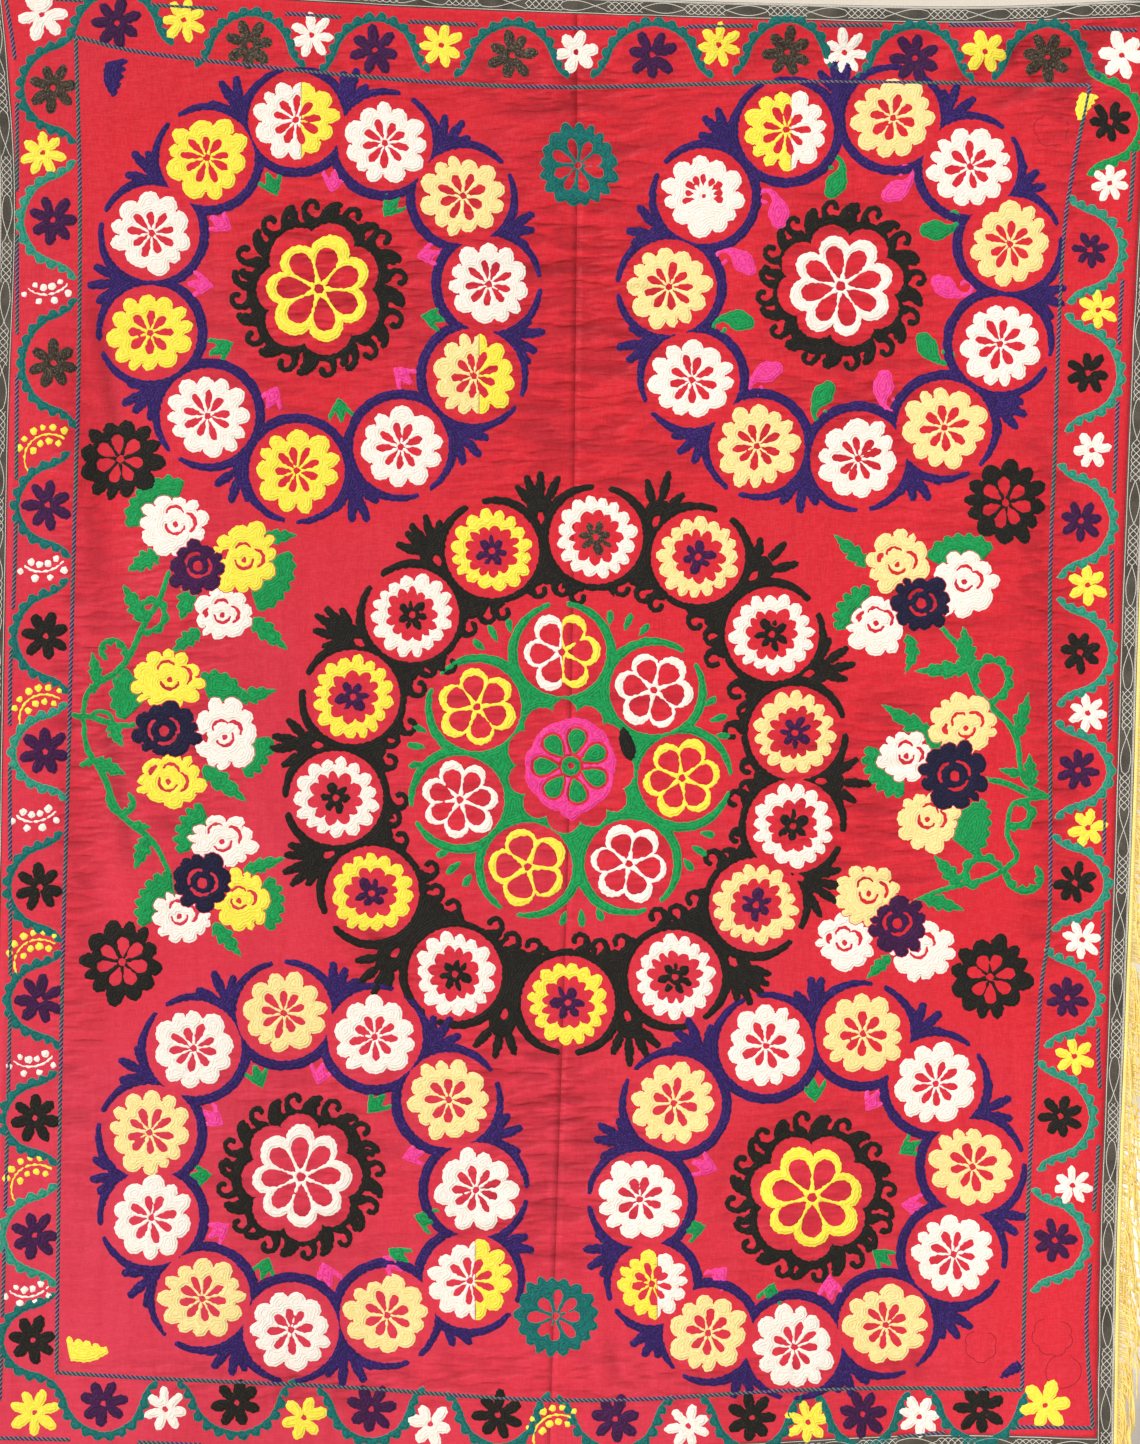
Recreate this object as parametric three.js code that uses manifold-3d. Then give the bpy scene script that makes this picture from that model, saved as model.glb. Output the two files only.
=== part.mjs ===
// A hung suzani: two red cotton panels sewn edge to edge, bound on all four
// sides with a narrow tape, with a yarn fringe down both sides and along the foot.
// Millimetres, +Z up. The origin is the middle of the top edge, X runs across the
// cloth, and the embroidered face looks along -Y.

import * as THREE from "three";
import { mergeVertices } from "three/addons/utils/BufferGeometryUtils.js";
import Module from "manifold-3d";

const wasm = await Module();
wasm.setup();

// Driving dimensions
const CLOTH_THICKNESS = 2;
const TAPE_WIDTH = 25;
const TAPE_THICKNESS = 2.6;
const PIECE_GAP = 0.3;
const HEADER_WIDTH = 6;
const HEADER_THICKNESS = 6;

const PANEL_COLUMNS = 21;
const PANEL_ROWS = 42;
// Rows lie closer near the top, where the small drag folds are.
const TOP_ROWS_CLOSER = 0.4;

const LOCK_SIDES = 3;
const LOCK_ROOT_RADIUS = 2.7;
const LOCK_TIP_RADIUS = 2;
const SIDE_LOCK_COUNT = 80;
const FOOT_LOCK_COUNT = 60;

// How the locks of each fringe hang. Lean is the angle from straight down, out from the cloth.
const SIDE_LOCKS = { length: 82, lean: 34, lengthVaries: 9, leanVaries: 5, swell: 5, bow: 3 };
const FOOT_LOCKS = { length: 66, lean: 0, lengthVaries: 8, leanVaries: 4, swell: 4, bow: 2 };

// The cloth's outer edges down its height, as X at each level Z, with the seam between the panels.
const SIDE_LINES = [
  { at: 40, left: -893, seam: 0, right: 886 },
  { at: -110, left: -878, seam: 0, right: 879 },
  { at: -310, left: -867, seam: 0, right: 869 },
  { at: -620, left: -877, seam: -3, right: 854 },
  { at: -930, left: -883, seam: -6, right: 842 },
  { at: -1235, left: -888, seam: -12, right: 833 },
  { at: -1545, left: -893, seam: -21, right: 821 },
  { at: -1855, left: -900, seam: -31, right: 809 },
  { at: -2220, left: -910, seam: -42, right: 803 },
];

// The cloth's outer edges across its width, as Z at each X.
const END_LINES = [
  { at: -910, top: 39, foot: -2204 },
  { at: -660, top: 29, foot: -2207 },
  { at: -430, top: 20, foot: -2210 },
  { at: -250, top: 10, foot: -2211 },
  { at: 0, top: 0, foot: -2210 },
  { at: 300, top: -10, foot: -2191 },
  { at: 560, top: -15, foot: -2183 },
  { at: 720, top: -11, foot: -2184 },
  { at: 900, top: -2, foot: -2188 },
];

// Folds as soft straight ridges (depth above 0, towards the face) and troughs (below 0).
// X and Z are the fold's middle, lean turns it from straight down towards +X, reach is
// half its length and width half its breadth.
const FOLDS = [
  { name: "left slack", x: -705, z: -717, lean: 9, reach: 200, width: 38, depth: -9 },
  { name: "left slack ridge", x: -772, z: -690, lean: 9, reach: 210, width: 36, depth: 6 },
  { name: "left slack below", x: -730, z: -1257, lean: 8, reach: 170, width: 38, depth: -9 },
  { name: "left ridge below", x: -660, z: -1280, lean: 8, reach: 180, width: 38, depth: 6 },
  { name: "left belly", x: -535, z: -1050, lean: 0, reach: 520, width: 130, depth: 8 },
  { name: "left slanting ridge", x: -425, z: -1325, lean: 28, reach: 160, width: 36, depth: 8 },
  { name: "left slanting trough", x: -492, z: -1345, lean: 28, reach: 150, width: 36, depth: -5 },
  { name: "lower slanting ridge", x: -280, z: -1714, lean: 38, reach: 140, width: 34, depth: 8 },
  { name: "lower slanting trough", x: -344, z: -1700, lean: 38, reach: 130, width: 34, depth: -5 },
  { name: "right slanting ridge", x: 230, z: -1694, lean: -56, reach: 95, width: 32, depth: 6 },
  { name: "right slanting trough", x: 290, z: -1746, lean: -55, reach: 95, width: 30, depth: -5 },
  { name: "right lower ridge", x: 350, z: -1800, lean: -53, reach: 95, width: 32, depth: 6 },
  { name: "corner drag", x: 724, z: -100, lean: -70, reach: 140, width: 28, depth: -8 },
  { name: "corner drag ridge", x: 690, z: -44, lean: -74, reach: 160, width: 28, depth: 7 },
  { name: "sag below the top", x: 360, z: -92, lean: -88, reach: 220, width: 30, depth: -7 },
  { name: "sag ridge", x: 400, z: -34, lean: -88, reach: 220, width: 28, depth: 7 },
  { name: "left of the sag", x: -190, z: -60, lean: 85, reach: 190, width: 30, depth: -5 },
  { name: "middle valley", x: 5, z: -470, lean: 0, reach: 330, width: 110, depth: -8 },
  { name: "middle valley below", x: -12, z: -1400, lean: 0, reach: 310, width: 95, depth: -6 },
  { name: "right belly", x: 620, z: -965, lean: 2, reach: 440, width: 100, depth: 8 },
  { name: "right hollow", x: 740, z: -1060, lean: 2, reach: 420, width: 55, depth: -6 },
  { name: "foot wave 1", x: -640, z: -2150, lean: 0, reach: 480, width: 150, depth: 13 },
  { name: "foot wave 2", x: -290, z: -2150, lean: 3, reach: 430, width: 120, depth: -9 },
  { name: "foot wave 3", x: 150, z: -2150, lean: -2, reach: 460, width: 140, depth: 12 },
  { name: "foot wave 4", x: 510, z: -2150, lean: 0, reach: 520, width: 120, depth: -13 },
  { name: "foot wave 5", x: 760, z: -2100, lean: 0, reach: 620, width: 80, depth: 10 },
];

const SETTLING_STEPS = 8;

const radians = THREE.MathUtils.degToRad;
const lerp = THREE.MathUtils.lerp;

// One column of a table at a station, on a smooth cubic through the rows.
function along(rows, column, at) {
  const rising = rows[1].at > rows[0].at;
  let i = 0;
  while (i < rows.length - 2 && rows[i + 1].at < at === rising) i += 1;
  const slope = (k) => {
    const before = rows[Math.max(0, k - 1)];
    const after = rows[Math.min(rows.length - 1, k + 1)];
    return (after[column] - before[column]) / (after.at - before.at);
  };
  const span = rows[i + 1].at - rows[i].at;
  const u = (at - rows[i].at) / span;
  const uu = u * u;
  const uuu = uu * u;
  return (
    (2 * uuu - 3 * uu + 1) * rows[i][column] +
    (uuu - 2 * uu + u) * span * slope(i) +
    (3 * uu - 2 * uuu) * rows[i + 1][column] +
    (uuu - uu) * span * slope(i + 1)
  );
}

// How far the folds bring the cloth forward at a point of its face.
function foldHeight(x, z) {
  let height = 0;
  for (const fold of FOLDS) {
    const lean = radians(fold.lean);
    const dx = x - fold.x;
    const dz = z - fold.z;
    const down = dx * Math.sin(lean) - dz * Math.cos(lean);
    const across = dx * Math.cos(lean) + dz * Math.sin(lean);
    height += fold.depth * Math.exp(-((across / fold.width) ** 2) - (down / fold.reach) ** 4);
  }
  return height;
}

const HEIGHT_AT_ORIGIN = foldHeight(0, 0);

// Y of the cloth's middle layer.
function drape(x, z) {
  return HEIGHT_AT_ORIGIN - foldHeight(x, z);
}

// X at a share of the width (the seam lies at one half) and a level, an inset inside the edges.
function acrossAt(share, z, inset) {
  const left = along(SIDE_LINES, "left", z) + inset;
  const right = along(SIDE_LINES, "right", z) - inset;
  const seam = along(SIDE_LINES, "seam", z);
  return share < 0.5 ? lerp(left, seam, 2 * share) : lerp(seam, right, 2 * share - 1);
}

const topAt = (x) => along(END_LINES, "top", x);
const footAt = (x) => along(END_LINES, "foot", x);

// The point at a share of the width whose level follows X, found by a few turns of both.
function settledPoint(share, inset, levelAt) {
  let x = 0;
  let z = 0;
  for (let turn = 0; turn < SETTLING_STEPS; turn += 1) {
    z = levelAt(x);
    x = acrossAt(share, z, inset);
  }
  return { x, z };
}

const panelInset = TAPE_WIDTH + PIECE_GAP;

// A point of the ground cloth at a share of its width and of its drop.
function clothPoint(share, drop) {
  return settledPoint(share, panelInset, (x) => lerp(topAt(x) - panelInset, footAt(x) + panelInset, drop));
}

const rowDrop = (row) => lerp(row / PANEL_ROWS, (row / PANEL_ROWS) ** 2, TOP_ROWS_CLOSER);

// A closed sheet of even thickness on the drape. Place gives X and Z at each grid corner by
// its column and row, with columns running towards +X and rows running down.
function sheetGeometry(columns, rows, thickness, place) {
  const position = [];
  const index = [];
  const perRow = columns + 1;
  const back = perRow * (rows + 1);
  for (const side of [-0.5, 0.5]) {
    for (let j = 0; j <= rows; j += 1) {
      for (let i = 0; i <= columns; i += 1) {
        const { x, z } = place(i, j);
        position.push(x, drape(x, z) + side * thickness, z);
      }
    }
  }
  const quad = (a, b, c, d) => index.push(a, b, c, a, c, d);
  for (let j = 0; j < rows; j += 1) {
    for (let i = 0; i < columns; i += 1) {
      const a = j * perRow + i;
      const b = a + perRow;
      quad(a, b, b + 1, a + 1);
      quad(back + a, back + a + 1, back + b + 1, back + b);
    }
  }
  for (let i = 0; i < columns; i += 1) {
    const foot = rows * perRow + i;
    quad(i, i + 1, back + i + 1, back + i);
    quad(foot + 1, foot, back + foot, back + foot + 1);
  }
  for (let j = 0; j < rows; j += 1) {
    const left = j * perRow;
    const right = left + columns;
    quad(left + perRow, left, back + left, back + left + perRow);
    quad(right, right + perRow, back + right + perRow, back + right);
  }
  const geometry = new THREE.BufferGeometry();
  geometry.setAttribute("position", new THREE.Float32BufferAttribute(position, 3));
  geometry.setIndex(index);
  return geometry;
}

// A lock of yarn: a tapering prism through a few points, closed at both ends.
function lockGeometry(points) {
  const position = [];
  const index = [];
  const last = points.length - 1;
  points.forEach((point, k) => {
    const ahead = points[Math.min(last, k + 1)].clone().sub(points[Math.max(0, k - 1)]).normalize();
    const side = new THREE.Vector3(0, 1, 0).cross(ahead).normalize();
    const out = ahead.clone().cross(side);
    const radius = lerp(LOCK_ROOT_RADIUS, LOCK_TIP_RADIUS, k / last);
    for (let n = 0; n < LOCK_SIDES; n += 1) {
      const turn = (2 * Math.PI * n) / LOCK_SIDES;
      const corner = point.clone();
      corner.addScaledVector(side, radius * Math.cos(turn));
      corner.addScaledVector(out, radius * Math.sin(turn));
      position.push(corner.x, corner.y, corner.z);
    }
  });
  for (let k = 0; k < last; k += 1) {
    for (let n = 0; n < LOCK_SIDES; n += 1) {
      const a = k * LOCK_SIDES + n;
      const b = k * LOCK_SIDES + ((n + 1) % LOCK_SIDES);
      index.push(a, b, b + LOCK_SIDES, a, b + LOCK_SIDES, a + LOCK_SIDES);
    }
  }
  const tip = last * LOCK_SIDES;
  for (let n = 1; n < LOCK_SIDES - 1; n += 1) {
    index.push(0, n + 1, n);
    index.push(tip, tip + n, tip + n + 1);
  }
  const geometry = new THREE.BufferGeometry();
  geometry.setAttribute("position", new THREE.Float32BufferAttribute(position, 3));
  geometry.setIndex(index);
  return geometry;
}

function toSolid(geometry) {
  const bare = geometry.clone();
  bare.deleteAttribute("normal");
  bare.deleteAttribute("uv");
  const merged = mergeVertices(bare);
  return new wasm.Manifold(
    new wasm.Mesh({
      numProp: 3,
      vertProperties: new Float32Array(merged.attributes.position.array),
      triVerts: new Uint32Array(merged.index.array),
    }),
  );
}

function toGeometry(solid) {
  const mesh = solid.getMesh();
  const geometry = new THREE.BufferGeometry();
  geometry.setAttribute("position", new THREE.Float32BufferAttribute(mesh.vertProperties, 3));
  geometry.setIndex(Array.from(mesh.triVerts));
  return geometry;
}

// One panel of the ground cloth, left or right of the seam and half a gap clear of it.
function panelGeometry(fromShare) {
  const seamColumn = fromShare === 0 ? PANEL_COLUMNS : 0;
  const clear = (fromShare === 0 ? -PIECE_GAP : PIECE_GAP) / 2;
  return sheetGeometry(PANEL_COLUMNS, PANEL_ROWS, CLOTH_THICKNESS, (i, j) => {
    const { x, z } = clothPoint(fromShare + (0.5 * i) / PANEL_COLUMNS, rowDrop(j));
    return { x: i === seamColumn ? x + clear : x, z };
  });
}

// A strip down one side of the cloth, between two distances inside its outer edge. Its rows lie
// level with the panel's, with one more at each end that reaches the top and the foot.
function sideStrip(share, outer, inner, thickness) {
  const distances = share === 0 ? [outer, inner] : [inner, outer];
  const lastRow = PANEL_ROWS + 2;
  return sheetGeometry(1, lastRow, thickness, (i, j) => {
    if (j === 0) return settledPoint(share, distances[i], topAt);
    if (j === lastRow) return settledPoint(share, distances[i], footAt);
    const { z } = clothPoint(share, rowDrop(j - 1));
    return { x: acrossAt(share, z, distances[i]), z };
  });
}

// A strip along the top or the foot, between two distances inside its outer edge. Its columns
// stand in line with the panels', with one more at each end where it runs past the sides.
function endStrip(edgeAt, inward, outer, inner, thickness, runsPastSides) {
  const distances = inward < 0 ? [outer, inner] : [inner, outer];
  const extra = runsPastSides ? 1 : 0;
  const steps = 2 * PANEL_COLUMNS;
  return sheetGeometry(steps + 2 * extra, 1, thickness, (i, j) => {
    const level = (x) => edgeAt(x) + inward * distances[j];
    const share = (i - extra) / steps;
    if (share < 0) return settledPoint(0, 0, level);
    if (share > 1) return settledPoint(1, 0, level);
    return settledPoint(share, panelInset, level);
  });
}

// A small even spread between -1 and 1 that repeats for the same number.
function unevenness(number, salt) {
  const wave = Math.sin(number * 12.9898 + salt * 78.233) * 43758.5453;
  return 2 * (wave - Math.floor(wave)) - 1;
}

// A lock from its root, leaning out from straight down and bowed a little, its belly to one face.
function hangingLock(root, outward, hang, number) {
  const length = hang.length + hang.lengthVaries * unevenness(number, 1);
  const lean = radians(hang.lean + hang.leanVaries * unevenness(number, 2));
  const swell = hang.swell * unevenness(number, 3);
  const reach = new THREE.Vector3(outward * Math.sin(lean), 0, -Math.cos(lean));
  const middle = root.clone().addScaledVector(reach, length / 2);
  middle.x += outward * hang.bow;
  middle.y += swell;
  const tip = root.clone().addScaledVector(reach, length);
  tip.y += swell / 2;
  return lockGeometry([root, middle, tip]);
}

// A header strip with its locks fused on. RootAt gives each lock's root by its place along it.
function fringeGeometry(header, outward, hang, count, rootAt) {
  const solids = [toSolid(header)];
  for (let n = 0; n < count; n += 1) {
    const { x, z } = rootAt((n + 0.5) / count);
    const root = new THREE.Vector3(x, drape(x, z), z);
    solids.push(toSolid(hangingLock(root, outward, hang, n)));
  }
  return toGeometry(wasm.Manifold.union(solids));
}

const headerOuter = -PIECE_GAP - HEADER_WIDTH;
const rootDistance = headerOuter + 0.25 * HEADER_WIDTH;

// Fringe down one side, its locks hanging outwards from a header beside the tape.
function sideFringe(share) {
  const header = sideStrip(share, headerOuter, -PIECE_GAP, HEADER_THICKNESS);
  const outward = share === 0 ? -1 : 1;
  return fringeGeometry(header, outward, SIDE_LOCKS, SIDE_LOCK_COUNT, (place) =>
    settledPoint(share, rootDistance, (x) => lerp(topAt(x), footAt(x), place)),
  );
}

// Fringe along the foot, its locks hanging straight down.
function footFringe() {
  const header = endStrip(footAt, 1, headerOuter, -PIECE_GAP, HEADER_THICKNESS, true);
  return fringeGeometry(header, 1, FOOT_LOCKS, FOOT_LOCK_COUNT, (place) =>
    settledPoint(place, 0, (x) => footAt(x) + rootDistance),
  );
}

const RED_COTTON = { color: 0xd62f3c, roughness: 0.85, metalness: 0 };
const GREY_TAPE = { color: 0x57524a, roughness: 0.8, metalness: 0 };
const YELLOW_YARN = { color: 0xf2d989, roughness: 0.75, metalness: 0 };

function piece(name, geometry, finish) {
  geometry.computeVertexNormals();
  const mesh = new THREE.Mesh(geometry, new THREE.MeshStandardMaterial(finish));
  mesh.name = name;
  return mesh;
}

const suzani = new THREE.Group();
suzani.add(
  piece("panel_left", panelGeometry(0), RED_COTTON),
  piece("panel_right", panelGeometry(0.5), RED_COTTON),
  piece("binding_left", sideStrip(0, 0, TAPE_WIDTH, TAPE_THICKNESS), GREY_TAPE),
  piece("binding_right", sideStrip(1, 0, TAPE_WIDTH, TAPE_THICKNESS), GREY_TAPE),
  piece("binding_top", endStrip(topAt, -1, 0, TAPE_WIDTH, TAPE_THICKNESS, false), GREY_TAPE),
  piece("binding_foot", endStrip(footAt, 1, 0, TAPE_WIDTH, TAPE_THICKNESS, false), GREY_TAPE),
  piece("fringe_left", sideFringe(0), YELLOW_YARN),
  piece("fringe_right", sideFringe(1), YELLOW_YARN),
  piece("fringe_foot", footFringe(), YELLOW_YARN),
);

export default suzani;
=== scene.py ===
"""Looks of a hung suzani: two red cotton panels worked in chain stitch, with bound edges and a fringe.

The embroidery is drawn on a flat chart in millimetres, x across from the seam and y up from the
middle of the top edge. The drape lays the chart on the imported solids' folds, in metres.
"""

import logging
import math
from dataclasses import dataclass, field, replace
from enum import Enum
from typing import Any, ClassVar, Iterable, Mapping, Sequence

import bpy
import numpy as np
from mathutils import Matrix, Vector, kdtree
from mathutils.geometry import delaunay_2d_cdt


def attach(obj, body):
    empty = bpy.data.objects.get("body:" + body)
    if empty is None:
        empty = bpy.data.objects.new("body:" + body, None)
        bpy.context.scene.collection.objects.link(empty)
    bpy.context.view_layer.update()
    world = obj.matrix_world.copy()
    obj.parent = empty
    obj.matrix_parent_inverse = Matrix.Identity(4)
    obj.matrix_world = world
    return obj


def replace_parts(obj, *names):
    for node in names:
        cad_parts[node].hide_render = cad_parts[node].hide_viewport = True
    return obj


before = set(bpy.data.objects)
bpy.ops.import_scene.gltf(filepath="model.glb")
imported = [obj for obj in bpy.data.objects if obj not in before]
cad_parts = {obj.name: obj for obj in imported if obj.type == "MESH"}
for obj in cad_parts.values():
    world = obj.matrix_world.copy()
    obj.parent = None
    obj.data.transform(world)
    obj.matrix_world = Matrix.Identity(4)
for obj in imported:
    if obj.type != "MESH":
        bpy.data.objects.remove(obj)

LOG = logging.getLogger("suzani")

Points = np.ndarray
Colour = tuple[float, float, float]
Mark = tuple[float, float, float, float, tuple[float, ...]]

MM = 0.001
BODY = "root"

# How the photo's pixels lie on the chart.
PHOTO_MM_PER_PX = 1.5
PHOTO_SEAM_PX = 577.0
PHOTO_TOP_PX = -3.0
PHOTO_WIDE_PX = 1140
PHOTO_HIGH_PX = 1444

# Stitching, in millimetres.
OUTLINE_STEP = 3.0
RIM_INSET = 1.5
FILL_SPACING = 5.0
PILE = 0.95
PILE_RISE = 0.8
UNEVEN = 0.5
RIM_SUNK = 0.5
BACK_STEP_SKIP = 2
FEW_POINTS = 10
BACK_SPACING = 10.0
BACK_PILE = 0.7

CLOTH_THICKNESS = 1.4
CLOTH_CELL_ACROSS = 10.5
CLOTH_CELL_DOWN = 6.0
TAPE_WIDTH = 25.0
TAPE_THICKNESS = 2.6
TAPE_LAP = 1.2
HEADER_INSET = -3.3

# The corded lines of the border and the drawn lines: step along them, then width and height.
LINE_STEP = 2.5
LINE_CORD = (6.6, 1.7)
LINE_BACK = (4.0, -0.5)
DRAWN_CORD = (1.1, 0.1)


class Thread(Enum):
    """The embroidery threads."""

    IVORY = "ivory"
    YELLOW = "yellow"
    STRAW = "straw"
    PURPLE = "purple"
    PLUM = "plum"
    NAVY = "navy"
    BLACK = "black"
    WORN = "worn_black"
    GREEN = "green"
    TEAL = "teal"
    SEA = "sea_green"
    PINK = "pink"


# One letter for each thread, in the order above.
LETTERS = dict(zip("IYSPMNKOGTAR", Thread))


def spot(across_px: float, down_px: float) -> Points:
    """Chart point of a place in the photo.

    Args:
        across_px: pixels from the photo's left edge.
        down_px: pixels from its top edge.

    Returns:
        The point in millimetres.
    """
    x = (across_px - PHOTO_SEAM_PX) * PHOTO_MM_PER_PX
    y = (PHOTO_TOP_PX - down_px) * PHOTO_MM_PER_PX
    return np.array((x, y))


def spots(*places: tuple[float, float]) -> Points:
    """Chart points of several places in the photo."""
    return np.array([spot(*place) for place in places])


def facing(bearing: float) -> Points:
    """Unit direction at a bearing in degrees, clockwise from straight up."""
    turn = math.radians(bearing)
    return np.array((math.sin(turn), math.cos(turn)))


def bearing_of(vector: Points) -> float:
    """Bearing of a direction in degrees, clockwise from straight up."""
    return math.degrees(math.atan2(vector[0], vector[1]))


def dice(place: Points) -> np.random.Generator:
    """Random numbers that always repeat for the same place on the chart."""
    return np.random.default_rng(abs(int(place[0] * 7919 + place[1] * 104729)) % (2**31))


def several(kind: type, *rows: tuple) -> tuple:
    """Things of one kind, each from a row of its fields in order."""
    return tuple(kind(*row) for row in rows)


def unit(vectors: Points) -> Points:
    """Vectors in rows, each brought to length 1."""
    return vectors / np.maximum(np.linalg.norm(vectors, axis=1, keepdims=True), 1e-9)


def rays(angle: Points, stretch: float = 1.0) -> Points:
    """Directions at angles in radians, clockwise from straight up, with their height stretched."""
    return np.stack((np.sin(angle), stretch * np.cos(angle)), axis=1)


def bow(centre: Points, radius: float, first: float, last: float, count: int) -> Points:
    """Points on a circle between two bearings in degrees, both included."""
    return centre + radius * rays(np.radians(np.linspace(first, last, count)))


def scallop(
    centre: Points,
    radius: float,
    lobes: int,
    depth: float,
    turn: float = 0.0,
    round_off: float = 0.6,
    loose: float = 0.2,
) -> Points:
    """Closed outline with rounded lobes and sharp notches.

    Args:
        centre: middle of the shape.
        radius: distance out to the lobes.
        lobes: how many lobes.
        depth: how far the notches cut in.
        turn: bearing of one notch.
        round_off: under 1 makes lobes blunter, over 1 more pointed.
        loose: how unlike one another the lobes are.

    Returns:
        The outline's points.
    """
    each = max(4, round(2 * math.pi * radius / lobes / OUTLINE_STEP * 1.15))
    share = np.arange(lobes * each) / each
    rng = dice(centre + radius)
    sizes = 1 + 1.5 * loose * rng.uniform(-1, 1, lobes)
    swing = rng.uniform(0, 2 * math.pi, 2)
    lobe = np.floor(share).astype(int)
    wave = np.abs(np.sin(math.pi * share)) ** round_off
    angle = math.radians(turn) + share / lobes * 2 * math.pi
    angle = angle + loose * math.pi / lobes * (np.sin(2 * angle + swing[1]) + np.sin(3 * angle + swing[0]))
    ovalness = 1 + 0.03 * np.sin(2 * angle + swing[0]) + 0.018 * np.sin(3 * angle + swing[1])
    reach = radius * ovalness - depth + depth * wave * sizes[lobe]
    return centre + reach[:, None] * rays(angle)


def circle(centre: Points, radius: float, stretch: float = 1.0) -> Points:
    """Closed round outline, its height stretch times its width."""
    count = max(8, round(2 * math.pi * radius / OUTLINE_STEP))
    return centre + radius * rays(np.arange(count) / count * 2 * math.pi, stretch)


def drop(centre: Points, bearing: float, start: float, end: float, width: float, taper: float = 1.3) -> Points:
    """Closed teardrop lying on a ray, its point towards the centre.

    Args:
        centre: where the ray begins.
        bearing: the ray's bearing in degrees.
        start: distance of the point along the ray.
        end: distance of the round end.
        width: the teardrop's width.
        taper: 0 is an oval, more is a sharper point.

    Returns:
        The outline's points.
    """
    count = max(8, round(2.3 * (end - start) / OUTLINE_STEP))
    angle = np.arange(count) / count * 2 * math.pi
    side = np.sin(angle) * np.abs(np.sin(angle / 2)) ** taper
    side = side / max(np.abs(side).max(), 1e-6) * width / 2
    ahead = start + (end - start) * (0.5 - 0.5 * np.cos(angle))
    out = facing(bearing)
    across = np.array((out[1], -out[0]))
    return centre + ahead[:, None] * out + side[:, None] * across


def smooth(points: Points, step: float = OUTLINE_STEP) -> Points:
    """Open curve through a few points.

    Args:
        points: the points, in order.
        step: distance between the curve's own points.

    Returns:
        Evenly spaced points on the curve.
    """
    padded = np.vstack((2 * points[0] - points[1], points, 2 * points[-1] - points[-2]))
    pieces = []
    share = np.linspace(0, 1, 12, endpoint=False)[:, None]
    for a, b, c, d in zip(padded, padded[1:], padded[2:], padded[3:]):
        bend = 2 * a - 5 * b + 4 * c - d
        pieces.append(0.5 * (2 * b + (c - a) * share + bend * share**2 + (3 * b - a - 3 * c + d) * share**3))
    return spaced(np.vstack((*pieces, points[-1:])), step)


def lengths(path: Points) -> Points:
    """Distance along a path to each of its points."""
    return np.concatenate(([0.0], np.cumsum(np.linalg.norm(np.diff(path, axis=0), axis=1))))


def spaced(path: Points, step: float) -> Points:
    """The same open path with evenly spaced points.

    Args:
        path: the path.
        step: about how far apart its points will be.

    Returns:
        The new points.
    """
    far = lengths(path)
    at = np.linspace(0, far[-1], max(2, round(far[-1] / step) + 1))
    return np.stack([np.interp(at, far, path[:, k]) for k in range(path.shape[1])], axis=1)


def wander(start: Points, bearing: float, length: float, turns: Sequence[float]) -> Points:
    """Open path that turns as it goes.

    Args:
        start: first point.
        bearing: heading at the start, in degrees.
        length: length of the path.
        turns: turning rates from start to end, as degrees turned over the whole length.

    Returns:
        Evenly spaced points.
    """
    count = max(5, round(length / (0.8 * OUTLINE_STEP)) + 1)
    share = np.linspace(0, 1, count)
    rate = np.interp(share, np.linspace(0, 1, len(turns)), turns)
    heading = np.radians(bearing + np.cumsum(rate) / count)
    steps = rays(heading) * length / (count - 1)
    return np.vstack((start, start + np.cumsum(steps[:-1], axis=0)))


def sideways(path: Points) -> Points:
    """Unit normals of a path, to the left of its travel."""
    ahead = unit(np.gradient(path, axis=0))
    return np.stack((-ahead[:, 1], ahead[:, 0]), axis=1)


def stroke(path: Points, widths: Sequence[float]) -> Points:
    """Closed outline of a line with round ends.

    Args:
        path: the line's middle.
        widths: widths from start to end.

    Returns:
        The outline's points.
    """
    far = lengths(path)
    half = np.interp(far / far[-1], np.linspace(0, 1, len(widths)), widths)[:, None] / 2
    left = sideways(path)
    caps = []
    for end, turn in ((-1, 1), (0, -1)):
        ahead = np.array((left[end][1], -left[end][0])) * turn
        angle = np.linspace(0, math.pi, 6)[1:-1, None]
        arm = left[end] * turn
        caps.append(path[end] + half[end] * (np.cos(angle) * arm + np.sin(angle) * ahead))
    return np.vstack((path + half * left, caps[0], (path - half * left)[::-1], caps[1]))


def tapered(path: Points, width: float) -> Points:
    """Closed outline of a stem, a little thinner at both ends."""
    return stroke(path, (0.7 * width, width, width, 0.8 * width))


def frilled(path: Points, plain: float, frill: float, pitch: float, side: int, taper: float = 0.5) -> Points:
    """Closed outline of a band with scallops along one side.

    Args:
        path: the band's middle.
        plain: half the band's width without the scallops.
        frill: height of the scallops.
        pitch: length of one scallop.
        side: 1 has them on the left of the travel, -1 on the right.
        taper: share of the width kept at the ends.

    Returns:
        The outline's points.
    """
    far = lengths(path)
    count = max(1, round(far[-1] / pitch))
    wave = np.abs(np.sin(math.pi * count * far / far[-1])) ** 0.7
    share = far / far[-1]
    slim = taper + (1 - taper) * np.clip(6 * np.minimum(share, 1 - share), 0, 1)
    left = sideways(path) * side
    outer = path + ((plain + frill * wave) * slim)[:, None] * left
    inner = path - (plain * slim)[:, None] * left
    return np.vstack((outer, inner[::-1]))


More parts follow.
